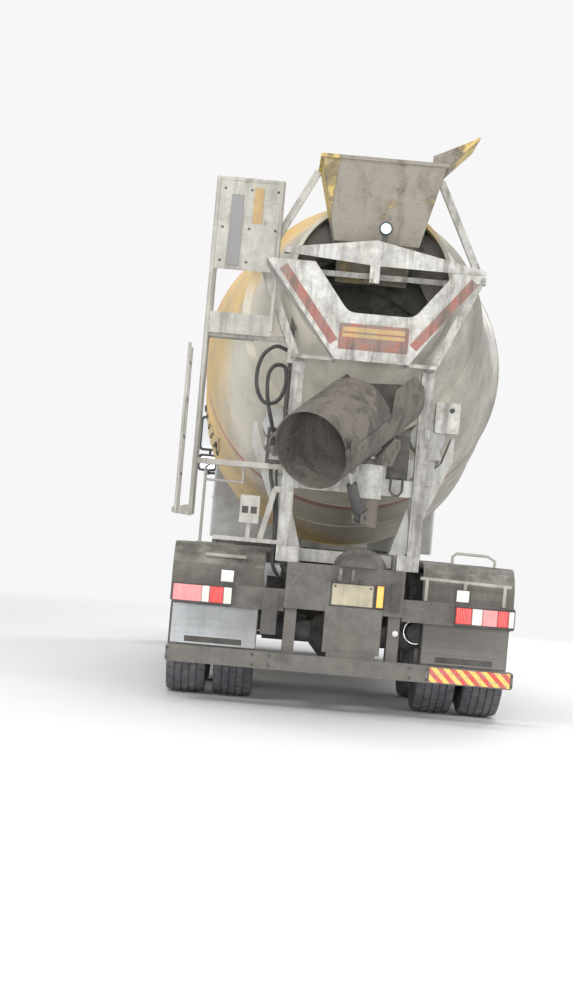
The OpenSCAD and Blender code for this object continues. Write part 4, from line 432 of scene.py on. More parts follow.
class Solid:
    """Gathers simple solids in one mesh, in metres in the shared frame, and starts again after done."""

    def __init__(self):
        self.bm = bmesh.new()

    def block(self, one, other):
        """Block between two opposite corners."""
        (x0, x1), (y0, y1), (z0, z1) = (sorted(pair) for pair in zip(one, other))
        corners = [(x0, y0), (x1, y0), (x1, y1), (x0, y1)]
        self.skin([[Vector((x, y, z)) for x, y in corners] for z in (z0, z1)])

    def bar(self, a, b, radius, sides=12):
        """Round bar from a to b."""
        a, b = Vector(a), Vector(b)
        ring = circle(b - a, sides)
        self.skin([[end + radius * p for p in ring] for end in (a, b)])

    def skin(self, rings, closed=False):
        """Surface over rings with as many points; closed joins the last ring to the first."""
        n, count = len(rings[0]), len(rings)
        polygons = []
        for i in range(count if closed else count - 1):
            here, after = i * n, (i + 1) % count * n
            polygons += [(here + k, here + (k + 1) % n, after + (k + 1) % n, after + k) for k in range(n)]
        if not closed:
            last = (count - 1) * n
            polygons += [tuple(reversed(range(n))), tuple(range(last, last + n))]
        corners = [self.bm.verts.new(p) for ring in rings for p in ring]
        for polygon in polygons:
            self.bm.faces.new([corners[i] for i in polygon])

    def turned(self, a, axis, rows, sides=24, closed=False):
        """Turned shape on an axis from a: each row gives the distance along it and the radius."""
        a, axis = Vector(a), Vector(axis).normalized()
        ring = circle(axis, sides)
        self.skin([[a + axis * at + r * p for p in ring] for at, r in rows], closed)

    def hoop(self, a, axis, inner, outer, width, sides=32):
        """Flat ring on an axis from a."""
        self.turned(a, axis, [(0, inner), (0, outer), (width, outer), (width, inner)], sides, True)

    def tube(self, points, radius, sides=8, steps=4):
        """Round tube on a smooth curve through the points."""
        path = smooth(points, steps)
        last = len(path) - 1
        ahead = [(path[min(last, i + 1)] - path[max(0, i - 1)]).normalized() for i in range(len(path))]
        side = ahead[0].orthogonal().normalized()
        rings = []
        for place, way in zip(path, ahead):
            side = (side - way * side.dot(way)).normalized()
            other = way.cross(side)
            rings.append([place + radius * (math.cos(t) * side + math.sin(t) * other) for t in angles(sides)])
        self.skin(rings)

    def bolt(self, place, normal, size):
        """Bolt head on a washer, seated at place; size is the head's width across."""
        place, normal = Vector(place), Vector(normal).normalized()
        washer = place + normal * size * 0.18
        self.bar(place - normal * size * 0.1, washer, size * 0.78, 12)
        self.bar(washer, place + normal * size * 0.75, size * 0.55, 6)

    def done(self, name, material, bevel=0.0, body="chassis"):
        """Makes an object of what was gathered, which rides on a body."""
        bmesh.ops.recalc_face_normals(self.bm, faces=self.bm.faces)
        mesh = bpy.data.meshes.new(name)
        self.bm.to_mesh(mesh)
        self.bm.free()
        self.bm = bmesh.new()
        made = show(name, mesh, material, math.radians(40))
        if bevel:
            soft = made.modifiers.new("edge", "BEVEL")
            soft.width = bevel
            soft.segments = 2
            soft.limit_method = "ANGLE"
            soft.angle_limit = EDGE_ANGLE
        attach(made, body)


def smooth(points, steps):
    """Points on a smooth curve through the given ones."""
    p = [Vector(q) for q in points]
    out = []
    for i in range(len(p) - 1):
        a, b, c, d = p[max(0, i - 1)], p[i], p[i + 1], p[min(len(p) - 1, i + 2)]
        for k in range(steps):
            t = k / steps
            out.append(0.5 * (2 * b + (c - a) * t + (2 * a - 5 * b + 4 * c - d) * t ** 2
                              + (3 * b - a - 3 * c + d) * t ** 3))
    return [*out, p[-1]]


def round_outline(x0, z0, x1, z1, r, steps=4):
    """Rectangle with round corners, as pairs."""
    corners = [(x1 - r, z1 - r, 0), (x0 + r, z1 - r, 90), (x0 + r, z0 + r, 180), (x1 - r, z0 + r, 270)]
    outline = []
    for cx, cz, start in corners:
        for k in range(steps + 1):
            t = math.radians(start + 90 * k / steps)
            outline.append((cx + r * math.cos(t), cz + r * math.sin(t)))
    return outline


def band(solid, outer, inner, y0, y1):
    """Band between two outlines in x and z, from y0 to y1."""
    solid.skin([[Vector((x, y, z)) for x, z in shape]
                for shape, y in ((outer, y0), (outer, y1), (inner, y1), (inner, y0))], True)


def seat_on(name, start, way):
    """Where a line from start meets a CAD node, and the surface's normal there."""
    met, place, normal, _ = nodes[name].ray_cast(Vector(start), Vector(way).normalized())
    if not met:
        raise ValueError(f"nothing of {name} lies ahead of {tuple(start)}")
    return place, normal


def seat_behind(name, x, z):
    """Where a line from behind the truck meets a CAD node, and the surface's normal there."""
    return seat_on(name, (x, BEHIND, z), (0, 1, 0))


def drum_point(at, radius, angle):
    """Point at a distance along the drum's axis, a radius and an angle from the right."""
    t = math.radians(angle)
    return DRUM_FRONT + DRUM_AXIS * at + radius * (math.cos(t) * Vector((1, 0, 0)) + math.sin(t) * DRUM_UP)


# Gathers the pieces one after another
made = Solid()

# Tyres with grooves and blocks, in the form of the solids that they stand for
TYRE_R = AXLE_Z
SIDE_ROWS = [
    # place across from the middle, radius
    (0.103, 0.287), (0.112, 0.313), (0.120, 0.328), (0.132, 0.352), (0.142, 0.378), (0.1475, 0.398),
    (0.1485, 0.402), (0.1485, 0.420), (0.1475, 0.445), (0.1450, 0.468), (0.1462, 0.474), (0.1450, 0.492),
    (0.1420, 0.505)]
RIBS = [(-0.130, -0.085), (-0.075, -0.032), (-0.022, 0.022), (0.032, 0.075), (0.085, 0.130)]
GROOVE, GROOVE_WALL = 0.013, 0.001
SHOULDER_X, SHOULDER_R, SHOULDER_CUT = 0.1380, 0.5135, 0.9
LEVEL_TREAD, TREAD_FALL = 0.06, 14 / 78
# Shares of a pitch at which the cut of the even ribs and then that of the odd ribs starts, is deep and ends
PITCH_STEPS = [0.0, 0.03, 0.15, 0.18, 0.5, 0.53, 0.65, 0.68]
EVEN_DEEP, ODD_DEEP = (1, 2), (5, 6)


def tread_r(x):
    """Radius of the tread at a place across it."""
    return TYRE_R - max(0.0, abs(x) - LEVEL_TREAD) * TREAD_FALL


def tyre_rows():
    """Rows of the tyre's outline: place across, radius, number of the rib or -1, share of the cut."""
    rows = [(-x, r, -1, 0.0) for x, r in SIDE_ROWS]
    rows += [(-SHOULDER_X, SHOULDER_R, 0, SHOULDER_CUT)]
    for i, (x0, x1) in enumerate(RIBS):
        rows += [(x, tread_r(x), i, 1.0) for x in (x0, x1)]
        if i < len(RIBS) - 1:
            walls = (x1 + GROOVE_WALL, RIBS[i + 1][0] - GROOVE_WALL)
            rows += [(x, tread_r(x) - GROOVE, -1, 0.0) for x in walls]
    rows += [(SHOULDER_X, SHOULDER_R, len(RIBS) - 1, SHOULDER_CUT)]
    return rows + [(x, r, -1, 0.0) for x, r in reversed(SIDE_ROWS)]


def tyre(name, node, body, centres, y, pitches, depths):
    """Tyres on one axis; depths gives the cut of the shoulder ribs and of the middle ribs."""
    rows = tyre_rows()
    points, polygons = [], []
    for centre in centres:
        base = len(points)
        for pitch in range(pitches):
            for step, part in enumerate(PITCH_STEPS):
                t = 2 * math.pi * (pitch + part) / pitches
                for x, r, rib, share in rows:
                    depth = depths[0] if rib in (0, len(RIBS) - 1) else depths[1]
                    cut = rib >= 0 and step in (ODD_DEEP if rib % 2 else EVEN_DEEP)
                    out = r - depth * share * cut
                    points.append((centre + x, y + out * math.cos(t), AXLE_Z + out * math.sin(t)))
        n, turns = len(rows), pitches * len(PITCH_STEPS)
        for s in range(turns):
            a, b = base + s * n, base + (s + 1) % turns * n
            polygons += [(a + j, b + j, b + j + 1, a + j + 1) for j in range(n - 1)]
    mesh = bpy.data.meshes.new(name)
    mesh.from_pydata(points, [], polygons)
    mesh.update()
    made = show(name, mesh, "tyre_rubber", EDGE_ANGLE)
    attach(made, body)
    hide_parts(node)


NUTS, NUT_CIRCLE, NUT_SIZE = 10, 0.150, 0.034
STUD_R, STUD_LENGTH = 0.010, 0.036
CAP_BOLTS, CAP_CIRCLE, CAP_BOLT_SIZE, CAP_RIM = 8, 0.052, 0.014, 0.006
BESIDE_WHEEL, VALVE_PLACE, VALVE_R = 1.4, 0.262, 0.005
VALVE = [(-0.004, 0.0), (0.02, -0.004), (0.05, -0.012)]


def wheel_nuts(name, rim, body, side, y, face, cap):
    """Wheel nuts with their studs, bolts of the hub's cap and the valve."""
    out = Vector((side, 0, 0))
    for t in angles(NUTS):
        place = Vector((side * face, y + NUT_CIRCLE * math.cos(t), AXLE_Z + NUT_CIRCLE * math.sin(t)))
        made.bolt(place, out, NUT_SIZE)
        made.bar(place, place + STUD_LENGTH * out, STUD_R, 8)
    for t in angles(CAP_BOLTS, 0.5):
        across, high = CAP_CIRCLE * math.cos(t), CAP_CIRCLE * math.sin(t)
        made.bolt((side * (cap - CAP_RIM), y + across, AXLE_Z + high), out, CAP_BOLT_SIZE)
    foot, _ = seat_on(rim, (side * BESIDE_WHEEL, y + VALVE_PLACE, AXLE_Z), -out)
    made.tube([foot + Vector((side * x, dy, 0)) for x, dy in VALVE], VALVE_R, 6)
    made.done(name, "cast_dark", body=body)


wheel_kinds = {
    # tyre centres, disc face, hub end, pitches of the tread, cuts of the shoulder and middle ribs
    "single": ([1.04], 1.125, 1.230, 30, (0.004, 0.0)),
    "twin": ([0.75, 1.10], 0.979, 1.160, 28, (0.012, 0.008))}
for axle, y in AXLE_Y.items():
    centres, face, cap, pitches, depths = wheel_kinds["single" if axle < 3 else "twin"]
    for word, side in SIDES:
        body = f"wheel_{axle}_{word}"
        places = [side * x for x in centres]
        tyre(f"tread_{axle}_{word}", f"tyre_{axle}_{word}", body, places, y, pitches, depths)
        wheel_nuts(f"nuts_{axle}_{word}", f"rim_{axle}_{word}", body, side, y, face, cap)

# Tail lamps: ribbed lenses in a dark rim on each lamp block, on two small feet
LAMP_IN, LAMP_OUT, LAMP_LOW, LAMP_TOP = 0.800, 1.225, 0.700, 0.840
LENS_RAISED, RIM_RAISED, LENS_EDGE = 0.010, 0.012, 0.012
RIM_OVER, RIM_LAP_X, RIM_LAP_Z = 0.003, 0.002, 0.009
FOOT_INSET, FOOT_HALF = 0.03, 0.008


def lamp_outline(in_x, in_z, corner):
    """Outline of a lamp block, drawn in by two distances."""
    return round_outline(LAMP_IN + in_x, LAMP_LOW + in_z, LAMP_OUT - in_x, LAMP_TOP - in_z, corner)


LENS_GAP = 0.003
lamp_segments = {
    # lenses from the inner end: kind, where the next one starts
    "left": [("white", 0.063), ("red", 0.163), ("white", 0.218), ("pink", 0.425)],
    "right": [("red", 0.121), ("white", 0.196), ("pink", 0.306), ("red", 0.384), ("white", 0.425)]}
outer = lamp_outline(-RIM_OVER, -RIM_OVER, 0.012)
inner = lamp_outline(RIM_LAP_X, RIM_LAP_Z, 0.006)
for word, side in SIDES:
    for kind in ("red", "white", "pink"):
        start = LENS_GAP
        for lens_kind, after in lamp_segments[word]:
            if lens_kind == kind:
                made.block((side * (LAMP_IN + start), LAMP_FACE - LENS_RAISED, LAMP_LOW + LENS_EDGE),
                           (side * (LAMP_IN + after - LENS_GAP), LAMP_FACE + SUNK, LAMP_TOP - LENS_EDGE))
            start = after
        made.done(f"tail_{kind}_{word}", f"{kind}_lens", bevel=0.003)
    band(made, [(side * x, z) for x, z in outer], [(side * x, z) for x, z in inner],
         LAMP_FACE - RIM_RAISED, LAMP_FACE + 2 * SUNK)
    for x in (side * (LAMP_IN + FOOT_INSET), side * (LAMP_OUT - FOOT_INSET)):
        made.block((x - FOOT_HALF, LAMP_FACE + 0.004, LAMP_LOW - 0.012),
                   (x + FOOT_HALF, LAMP_FACE + 0.030, LAMP_LOW + 0.002))
    made.done(f"tail_rim_{word}", "dark_plastic", bevel=0.002)

# Bare number plate on its holder, plate lamps and the amber flasher
PLATE_LEFT, PLATE_RIGHT, PLATE_LOW, PLATE_TOP = -0.090, 0.205, 0.772, 0.925
PLATE_FACE = REAR_PLATE - 0.009
HOLDER_RIM, SCREW_INSET = 0.015, 0.020
PLATE_LAMP_W = 0.040
FLASHER_LEFT, FLASHER_RIGHT, FLASHER_LOW, FLASHER_TOP = 0.222, 0.285, 0.768, 0.938
FLASHER_RIM = 0.008
made.block((PLATE_LEFT, PLATE_FACE, PLATE_LOW), (PLATE_RIGHT, REAR_PLATE - 0.002, PLATE_TOP))
made.done("number_plate", "pale_plate", bevel=0.002)
made.block((PLATE_LEFT - HOLDER_RIM, REAR_PLATE - 0.003, PLATE_LOW - 0.012),
           (PLATE_RIGHT + HOLDER_RIM, REAR_PLATE + SUNK, PLATE_TOP + 0.006))
for x in (PLATE_LEFT + SCREW_INSET, PLATE_RIGHT - SCREW_INSET):
    made.bolt((x, PLATE_FACE, PLATE_TOP - SCREW_INSET), (0, -1, 0), 0.010)
for x in (PLATE_LEFT - HOLDER_RIM, 0.095):
    made.block((x, REAR_PLATE - 0.032, PLATE_TOP + 0.004),
               (x + PLATE_LAMP_W, REAR_PLATE + SUNK, PLATE_TOP + 0.028))
made.block((FLASHER_LEFT, REAR_PLATE - 0.022, FLASHER_LOW), (FLASHER_RIGHT, REAR_PLATE + SUNK, FLASHER_TOP))
made.done("plate_holder", "dark_plastic", bevel=0.002)
made.block((FLASHER_LEFT + FLASHER_RIM, REAR_PLATE - 0.031, FLASHER_LOW + FLASHER_RIM),
           (FLASHER_RIGHT - FLASHER_RIM, REAR_PLATE - 0.018, FLASHER_TOP - FLASHER_RIM))
made.done("amber_flasher", "amber_lens", bevel=0.004)

# White square reflectors on brackets above the lamps' inner ends, and a small lamp on the tail
SQUARE_X, SQUARE_HALF, SQUARE_LOW, SQUARE_TOP = 0.845, 0.045, 0.868, 0.950
BRACKET_RIM = 0.004
TAIL_MARKER_X, TAIL_MARKER_Z = 0.385, 0.60
brackets = Solid()
for _, side in SIDES:
    x, half = side * SQUARE_X, SQUARE_HALF + BRACKET_RIM
    made.block((x - SQUARE_HALF, LAMP_FACE + 0.010, SQUARE_LOW),
               (x + SQUARE_HALF, LAMP_FACE + 0.018, SQUARE_TOP))
    brackets.block((x - half, LAMP_FACE + 0.017, LAMP_TOP - BRACKET_RIM),
                   (x + half, LAMP_FACE + 0.021, SQUARE_TOP + BRACKET_RIM))
# the white lens glows faintly: a painted glow on these reflectors
made.done("square_reflectors", "white_lens", bevel=0.003)
brackets.done("reflector_brackets", "dark_fittings", bevel=0.001)
place, normal = seat_behind("underrun", TAIL_MARKER_X, TAIL_MARKER_Z)
made.turned(place, normal, [(-0.002, 0.020), (0.014, 0.022), (0.020, 0.014)], 16)
made.done("tail_marker", "white_lens")

# Reflective marking on the right half of the underrun bar, and the bar's bolts
MARKING_IN, MARKING_OUT, MARKING_LOW, MARKING_TOP = 0.640, 1.215, 0.288, 0.392
MARKING_RAISED = 0.0025
made.block((MARKING_IN, BAR_FACE - MARKING_RAISED, MARKING_LOW), (MARKING_OUT, BAR_FACE + SUNK, MARKING_TOP))
made.done("bar_marking", "bar_marking", bevel=0.001)
for _, side in SIDES:
    for x in (0.50, 0.62, 1.225):
        for z in (0.305, 0.375):
            made.bolt((side * x, BAR_FACE, z), (0, -1, 0), 0.014)
made.done("bar_bolts", "cast_dark")

# Flaps: pale ribbed sheet with a dark slot on the left, a darker one on the right whose darkness is painted
# shade
FLAP_FACE = AXLE_Y[4] - TYRE_R - 0.076
FLAP_IN, FLAP_OUT, FLAP_LOW, FLAP_TOP = 0.606, 1.224, 0.396, 0.736
FLAP_RIBS, RIB_START, RIB_STEP, RIB_H, RIB_INSET = 5, 0.470, 0.050, 0.012, 0.03
SLOT_LOW, SLOT_TOP, SLOT_INSET = 0.408, 0.450, 0.10
for word, side in SIDES:
    sheet, slot = Solid(), Solid()
    x0, x1 = sorted((side * FLAP_IN, side * FLAP_OUT))
    sheet.block((x0, FLAP_FACE - 0.004, FLAP_LOW), (x1, FLAP_FACE + 0.004, FLAP_TOP))
    for k in range(FLAP_RIBS):
        z = RIB_START + RIB_STEP * k
        sheet.block((x0 + RIB_INSET, FLAP_FACE - 0.009, z), (x1 - RIB_INSET, FLAP_FACE - 0.003, z + RIB_H))
    slot.block((x0 + SLOT_INSET, FLAP_FACE - 0.006, SLOT_LOW), (x1 - SLOT_INSET, FLAP_FACE - 0.003, SLOT_TOP))
    # the right sheet is the pale sheet darkened with painted shade
    sheet.done(f"flap_sheet_{word}", "pale_flap" if side < 0 else "dark_flap", bevel=0.002)
    slot.done(f"flap_slot_{word}", "dark_fittings", bevel=0.001)

# Collector: bare framed panel with two stripes, and plain worn bands along both slopes
COLLECTOR_Y, COLLECTOR_Z, COLLECTOR_LEAN = -3.939, 2.49, 0.106
SHEET_SUNK = 0.002
PANEL_LEFT, PANEL_RIGHT, PANEL_LOW, PANEL_TOP = -0.215, 0.275, 2.565, 2.745
FRAME_W, STRIPE_INSET = 0.025, 0.027
BAND_W = 0.065
slope_bands = [
    # upper and lower end of each band's middle line, in x and z
    ((-0.640, 3.100), (-0.245, 2.610)),
    ((0.700, 3.100), (0.310, 2.610))]


def collector_sheet(outline, out):
    """Sheet on the collector's leaning rear plate, with its face before the plate by out."""
    on_plate = [Vector((x, COLLECTOR_Y - COLLECTOR_LEAN * (z - COLLECTOR_Z), z)) for x, z in outline]
    made.skin([[p - Vector((0, ahead, 0)) for p in on_plate] for ahead in (-SHEET_SUNK, out)])


def panel_sheet(name, material, inset, spans, out, bevel):
    """Sheets on the panel, inset from its ends, over spans in z."""
    x0, x1 = PANEL_LEFT + inset, PANEL_RIGHT - inset
    for z0, z1 in spans:
        collector_sheet([(x0, z0), (x1, z0), (x1, z1), (x0, z1)], out)
    made.done(name, material, bevel)


panel_sheet("panel_frame", "worn_red", 0, [(PANEL_LOW, PANEL_TOP)], 0.004, 0.001)
panel_sheet("panel_face", "worn_yellow", FRAME_W, [(PANEL_LOW + FRAME_W, PANEL_TOP - FRAME_W)], 0.006, 0.001)
panel_sheet("panel_stripes", "worn_red", STRIPE_INSET, [(2.592, 2.650), (2.676, 2.688)], 0.0075, 0.0)
for (x0, z0), (x1, z1) in slope_bands:
    run = Vector((x1 - x0, z1 - z0)).normalized()
    side = Vector((-run.y, run.x)) * BAND_W / 2
    corners = [(x0 + side.x, z0 + side.y), (x1 + side.x, z1 + side.y), (x1 - side.x, z1 - side.y),
               (x0 - side.x, z0 - side.y)]
    collector_sheet(corners, 0.0025)
made.done("slope_bands", "worn_red")

# Work light: lens and bezel on its housing, each row the distance along it and the radius
LIGHT = Vector((0.05, -3.984, 3.42499))
lens_rows = [(-0.001, 0.037), (0.004, 0.036), (0.008, 0.028), (0.010, 0.010)]
bezel_rows = [(-0.012, 0.0455), (0.008, 0.0475), (0.010, 0.043), (0.006, 0.0375), (-0.001, 0.0375)]
made.turned(LIGHT, (0, -1, 0), lens_rows, 32)
made.done("work_lens", "work_lens")
made.turned(LIGHT, (0, -1, 0), bezel_rows, 32, True)
made.done("work_bezel", "dark_plastic")

# Dark pipe with clamps up the left post, and hoses from the valve frame to the tail
POST_HALF, PIPE_OFF, PIPE_R = 0.045, 0.018, 0.016
PIPE_X = -POST_X - POST_HALF - PIPE_OFF
CLAMP_H = 0.022
valve_hoses = [
    # radius, sides, then x, place before the post and z of each point
    (0.014, 10, [(-0.600, 0.01, 1.760), (-0.600, 0.01, 1.660), (-0.575, 0.02, 1.560), (-0.545, 0.03, 1.400),
                 (-0.535, 0.03, 1.200), (-0.530, 0.05, 1.020), (-0.480, 0.10, 0.930)]),
    (0.009, 8, [(-0.560, 0.01, 1.760), (-0.558, 0.005, 1.640), (-0.540, 0.0, 1.500), (-0.530, 0.005, 1.300),
                (-0.528, 0.010, 1.120)])]
way = ((0.0, 1.98), (0.0, 2.30), (0.005, 2.62), (0.01, 3.02))
made.tube([(PIPE_X, POST_Y + ahead, z) for ahead, z in way], PIPE_R, 10)
for z in (2.12, 2.42, 2.72, 2.96):
    made.block((PIPE_X - 0.020, POST_Y - 0.020, z), (PIPE_X + 0.022, POST_Y + 0.024, z + CLAMP_H))
made.done("post_pipe", "dark_fittings")
for radius, sides, way in valve_hoses:
    made.tube([(x, POST_Y + ahead, z) for x, ahead, z in way], radius, sides)
made.done("valve_hoses", "hose_rubber")


# Weld beads round the drum and along it, and the bolts of its hatch
DRUM_R, OUTSIDE_DRUM = 1.200, 1.5
# Joints of the drum: place along its axis, radius
NECK, BELLY, MIDDLE, REAR_CONE = (0.150, 0.850), (1.500, DRUM_R), (2.250, DRUM_R), (3.000, DRUM_R)
weld_rows = [(-0.006, -0.003), (-0.006, 0.002), (0.0, 0.005), (0.006, 0.002), (0.006, -0.003)]
WELD_R = 0.006
HATCH_AT, HATCH_ANGLE = 2.050, 200
HATCH_END, HATCH_SIDE = 0.195, 0.165
for at, radius in (NECK, BELLY, REAR_CONE, MIDDLE):
    rows = [(along, radius + high) for along, high in weld_rows]
    made.turned(DRUM_FRONT + DRUM_AXIS * at, DRUM_AXIS, rows, 96, True)
for start, end, angle in ((NECK, BELLY, 75), (BELLY, MIDDLE, 250), (MIDDLE, REAR_CONE, 130)):
    made.bar(drum_point(*start, angle), drum_point(*end, angle), WELD_R, 6)
made.done("drum_welds", "drum_paint", body="drum")
hatch_places = [(end, HATCH_SIDE * k / 2) for end in (-HATCH_END, HATCH_END) for k in range(-2, 3)]
hatch_places += [(HATCH_END * k / 3, edge) for edge in (-HATCH_SIDE, HATCH_SIDE) for k in range(-2, 3)]
for ahead, across in hatch_places:
    at, angle = HATCH_AT + ahead, HATCH_ANGLE + math.degrees(across / DRUM_R)
    outside = drum_point(at, OUTSIDE_DRUM, angle)
    place, normal = seat_on("drum_shell", outside, drum_point(at, 0, angle) - outside)
    made.bolt(place, normal, 0.022)
made.done("hatch_bolts", "cast_dark", body="drum")

# Frame: bolts along the rails' outer faces, and air lines inside them
RAIL_BOLTS, BOLTS_START, BOLTS_STEP = 30, -3.40, 0.245
BESIDE_RAIL, RAIL_FACE = 0.60, 0.41
AIR_LINE_X, AIR_LINE_R = 0.337, 0.009
for _, side in SIDES:
    for k in range(RAIL_BOLTS):
        for z in (0.82, 0.98):
            start = (side * BESIDE_RAIL, BOLTS_START + BOLTS_STEP * k, z)
            place, normal = seat_on("chassis", start, (-side, 0, 0))
            if abs(place.x) > RAIL_FACE:
                made.bolt(place, normal, 0.020)
made.done("rail_bolts", "cast_dark")
for side, z in ((-1, 0.93), (-1, 0.96), (1, 0.95)):
    way = ((-3.3, 0.0), (-1.5, -0.004), (0.5, 0.003), (2.25, 0.0))
    made.tube([(side * AIR_LINE_X, y, z + rise) for y, rise in way], AIR_LINE_R, 6, 3)
made.done("air_lines", "hose_rubber")

# Axles: bolts round the springs, brake chambers with their bands, and hoses to the frame
spring_kinds = {
    # inner and outer side of the spring, height from which its bolts rise
    "front": (0.385, 0.475, 0.57),
    "rear": (0.435, 0.545, 0.66)}
ABOVE_SPRING, BOLT_APART, BOLT_R = 0.95, 0.045, 0.009
CHAMBER_X, CHAMBER_Z, CHAMBER_BEHIND, BAND_BEHIND = 0.585, 0.60, 0.10, 0.078
chamber_rows = [(0, 0.035), (0.02, 0.075), (0.075, 0.085), (0.085, 0.088), (0.095, 0.085), (0.15, 0.075),
                (0.215, 0.072), (0.23, 0.030)]
# Brake hose: x, place behind the chamber's front and z of each point
brake_hose = [(0.585, 0.12, 0.678), (0.565, 0.11, 0.76), (0.485, 0.08, 0.84), (0.428, 0.07, 0.88)]
shackles, chambers, chamber_bands, hoses = Solid(), Solid(), Solid(), Solid()
for axle, y in AXLE_Y.items():
    x_in, x_out, start_z = spring_kinds["front" if axle < 3 else "rear"]
    for _, side in SIDES:
        top = seat_on("springs", (side * (x_in + x_out) / 2, y, ABOVE_SPRING), (0, 0, -1))[0].z
        for dy in (-BOLT_APART, BOLT_APART):
            for x in (x_in, x_out):
                shackles.bar((side * x, y + dy, start_z), (side * x, y + dy, top + 0.022), BOLT_R, 8)
            shackles.bar((side * x_in, y + dy, top + 0.008), (side * x_out, y + dy, top + 0.008), BOLT_R, 8)
        if axle > 2:
            x, behind = side * CHAMBER_X, y - CHAMBER_BEHIND
            chambers.turned((x, behind, CHAMBER_Z), (0, -1, 0), chamber_rows, 24)
            chamber_bands.hoop((x, behind - BAND_BEHIND, CHAMBER_Z), (0, -1, 0), 0.086, 0.092, 0.016, 24)
            hoses.tube([(side * hose_x, behind - back, z) for hose_x, back, z in brake_hose], 0.009, 8)
shackles.done("spring_shackles", "cast_dark")
chambers.done("brake_chambers", "cast_dark")
chamber_bands.done("chamber_bands", "machined_steel")
hoses.done("brake_hoses", "hose_rubber")

# Fuel tank: straps and cap; air tanks: straps and drains; battery box: lid with latches
FUEL_SIDE, STRAP_HALF = -1.154, 0.025
strap_outside = round_outline(FUEL_SIDE, 0.476, -0.616, 0.914, 0.113, 8)
strap_inside = round_outline(FUEL_SIDE + 0.005, 0.481, -0.621, 0.909, 0.109, 8)
AIR_TANK_X, AIR_TANK_R, air_tank_z = 0.76, 0.114, (0.600, 0.860)
FUEL_CAP = Vector((-0.98, 0.50, 0.905))
cap_rows = [(0, 0.060), (0.022, 0.060), (0.024, 0.048), (0.050, 0.048), (0.056, 0.040)]
GRIPS, GRIP_CIRCLE, GRIP_R, GRIP_LOW, GRIP_TOP = 8, 0.047, 0.006, 0.930, 0.954
drain_rows = [(0, 0.012), (0.020, 0.012), (0.022, 0.007), (0.040, 0.007)]
LID_SIDE, LID_FRONT, LID_REAR = -1.124, 2.624, 2.008
lid_outside = round_outline(LID_SIDE, 0.800, -0.636, 0.984, 0.030)
lid_inside = round_outline(LID_SIDE + 0.005, 0.806, -0.641, 0.979, 0.029)
straps, caps, lid = Solid(), Solid(), Solid()
for y in (-0.16, 0.40):
    band(straps, strap_outside, strap_inside, y - STRAP_HALF, y + STRAP_HALF)
    straps.bolt((FUEL_SIDE, y, 0.66), (-1, 0, 0), 0.016)
for y in (-0.16, 0.28):
    for z in air_tank_z:
        straps.hoop((AIR_TANK_X, y, z), (0, 1, 0), AIR_TANK_R, AIR_TANK_R + 0.005, 0.04)
straps.done("tank_straps", "machined_steel")
caps.turned(FUEL_CAP, (0, 0, 1), cap_rows, 24)
for t in angles(GRIPS):
    x, y = FUEL_CAP.x + GRIP_CIRCLE * math.cos(t), FUEL_CAP.y + GRIP_CIRCLE * math.sin(t)
    caps.bar((x, y, GRIP_LOW), (x, y, GRIP_TOP), GRIP_R, 6)
for z in air_tank_z:
    caps.turned((AIR_TANK_X, 0.068, z - 0.112), (0, 0, -1), drain_rows, 12)
caps.done("tank_caps", "dark_plastic")
band(lid, lid_outside, lid_inside, LID_REAR, LID_FRONT)
for y in (2.12, 2.50):
    lid.block((LID_SIDE - 0.008, y - 0.020, 0.770), (LID_SIDE + 0.006, y + 0.020, 0.850))
    lid.bar((LID_SIDE - 0.006, y - 0.012, 0.800), (LID_SIDE - 0.006, y + 0.012, 0.800), 0.010, 8)
lid.done("battery_lid", "dark_plastic", bevel=0.003)

# Silencer: louvred heat shield on its outer face and clamps round the pipe
SHIELD_X, LOUVRE_STEP = 1.130, 0.055
SHIELD_REAR, SHIELD_LOW = 2.06, 0.60
LOUVRE_L, LOUVRE_H = 0.034, 0.020
EXHAUST_X, EXHAUST_Y, EXHAUST_R = 0.90, 2.07099, 0.059
for row in range(7):
    for k in range(10):
        y, z = SHIELD_REAR + LOUVRE_STEP * k, SHIELD_LOW + LOUVRE_STEP * row
        made.block((SHIELD_X - 0.002, y, z), (SHIELD_X + 0.004, y + LOUVRE_L, z + LOUVRE_H))
clamps = Solid()
for z in (1.20, 1.75, 2.25):
    clamps.hoop((EXHAUST_X, EXHAUST_Y, z), (0, 0, 1), EXHAUST_R, EXHAUST_R + 0.007, 0.03)
made.done("silencer_louvres", "cast_dark", bevel=0.002)
clamps.done("pipe_clamps", "machined_steel")

# Water tank: straps and filler; hoses of the drum drive
TANK_Y, TANK_Z, TANK_R = 2.24099, 1.780, 0.225
STRAP_X, STRAP_W = 0.38, 0.05
filler_rows = [(0, 0.070), (0.030, 0.070), (0.034, 0.055), (0.050, 0.055)]
DRIVE_Y, UNDER_DRIVE = 1.70, 1.2
for _, side in SIDES:
    start = (side * STRAP_X - STRAP_W / 2, TANK_Y, TANK_Z)
    made.hoop(start, (1, 0, 0), TANK_R - 0.002, TANK_R + 0.005, STRAP_W, 40)
made.turned((0.10, TANK_Y, TANK_Z + TANK_R - 0.006), (0, 0, 1), filler_rows, 24)
made.done("water_straps", "machined_steel")
for x, drop in ((-0.16, 0.0), (-0.10, 0.03), (0.14, 0.01)):
    foot = seat_on("drum_drive", (x, DRIVE_Y, UNDER_DRIVE), (0, 0, 1))[0].z
    made.tube([(x, DRIVE_Y, foot + 0.01), (x * 1.1, DRIVE_Y, foot - 0.15), (x * 1.5, 1.76, 1.45 - drop),
               (x * 1.7, 1.95, 1.16), (x * 1.7, 2.20, 0.98), (x * 1.7, 2.40, 0.92)], 0.019, 10)
made.done("drive_hoses", "hose_rubber")

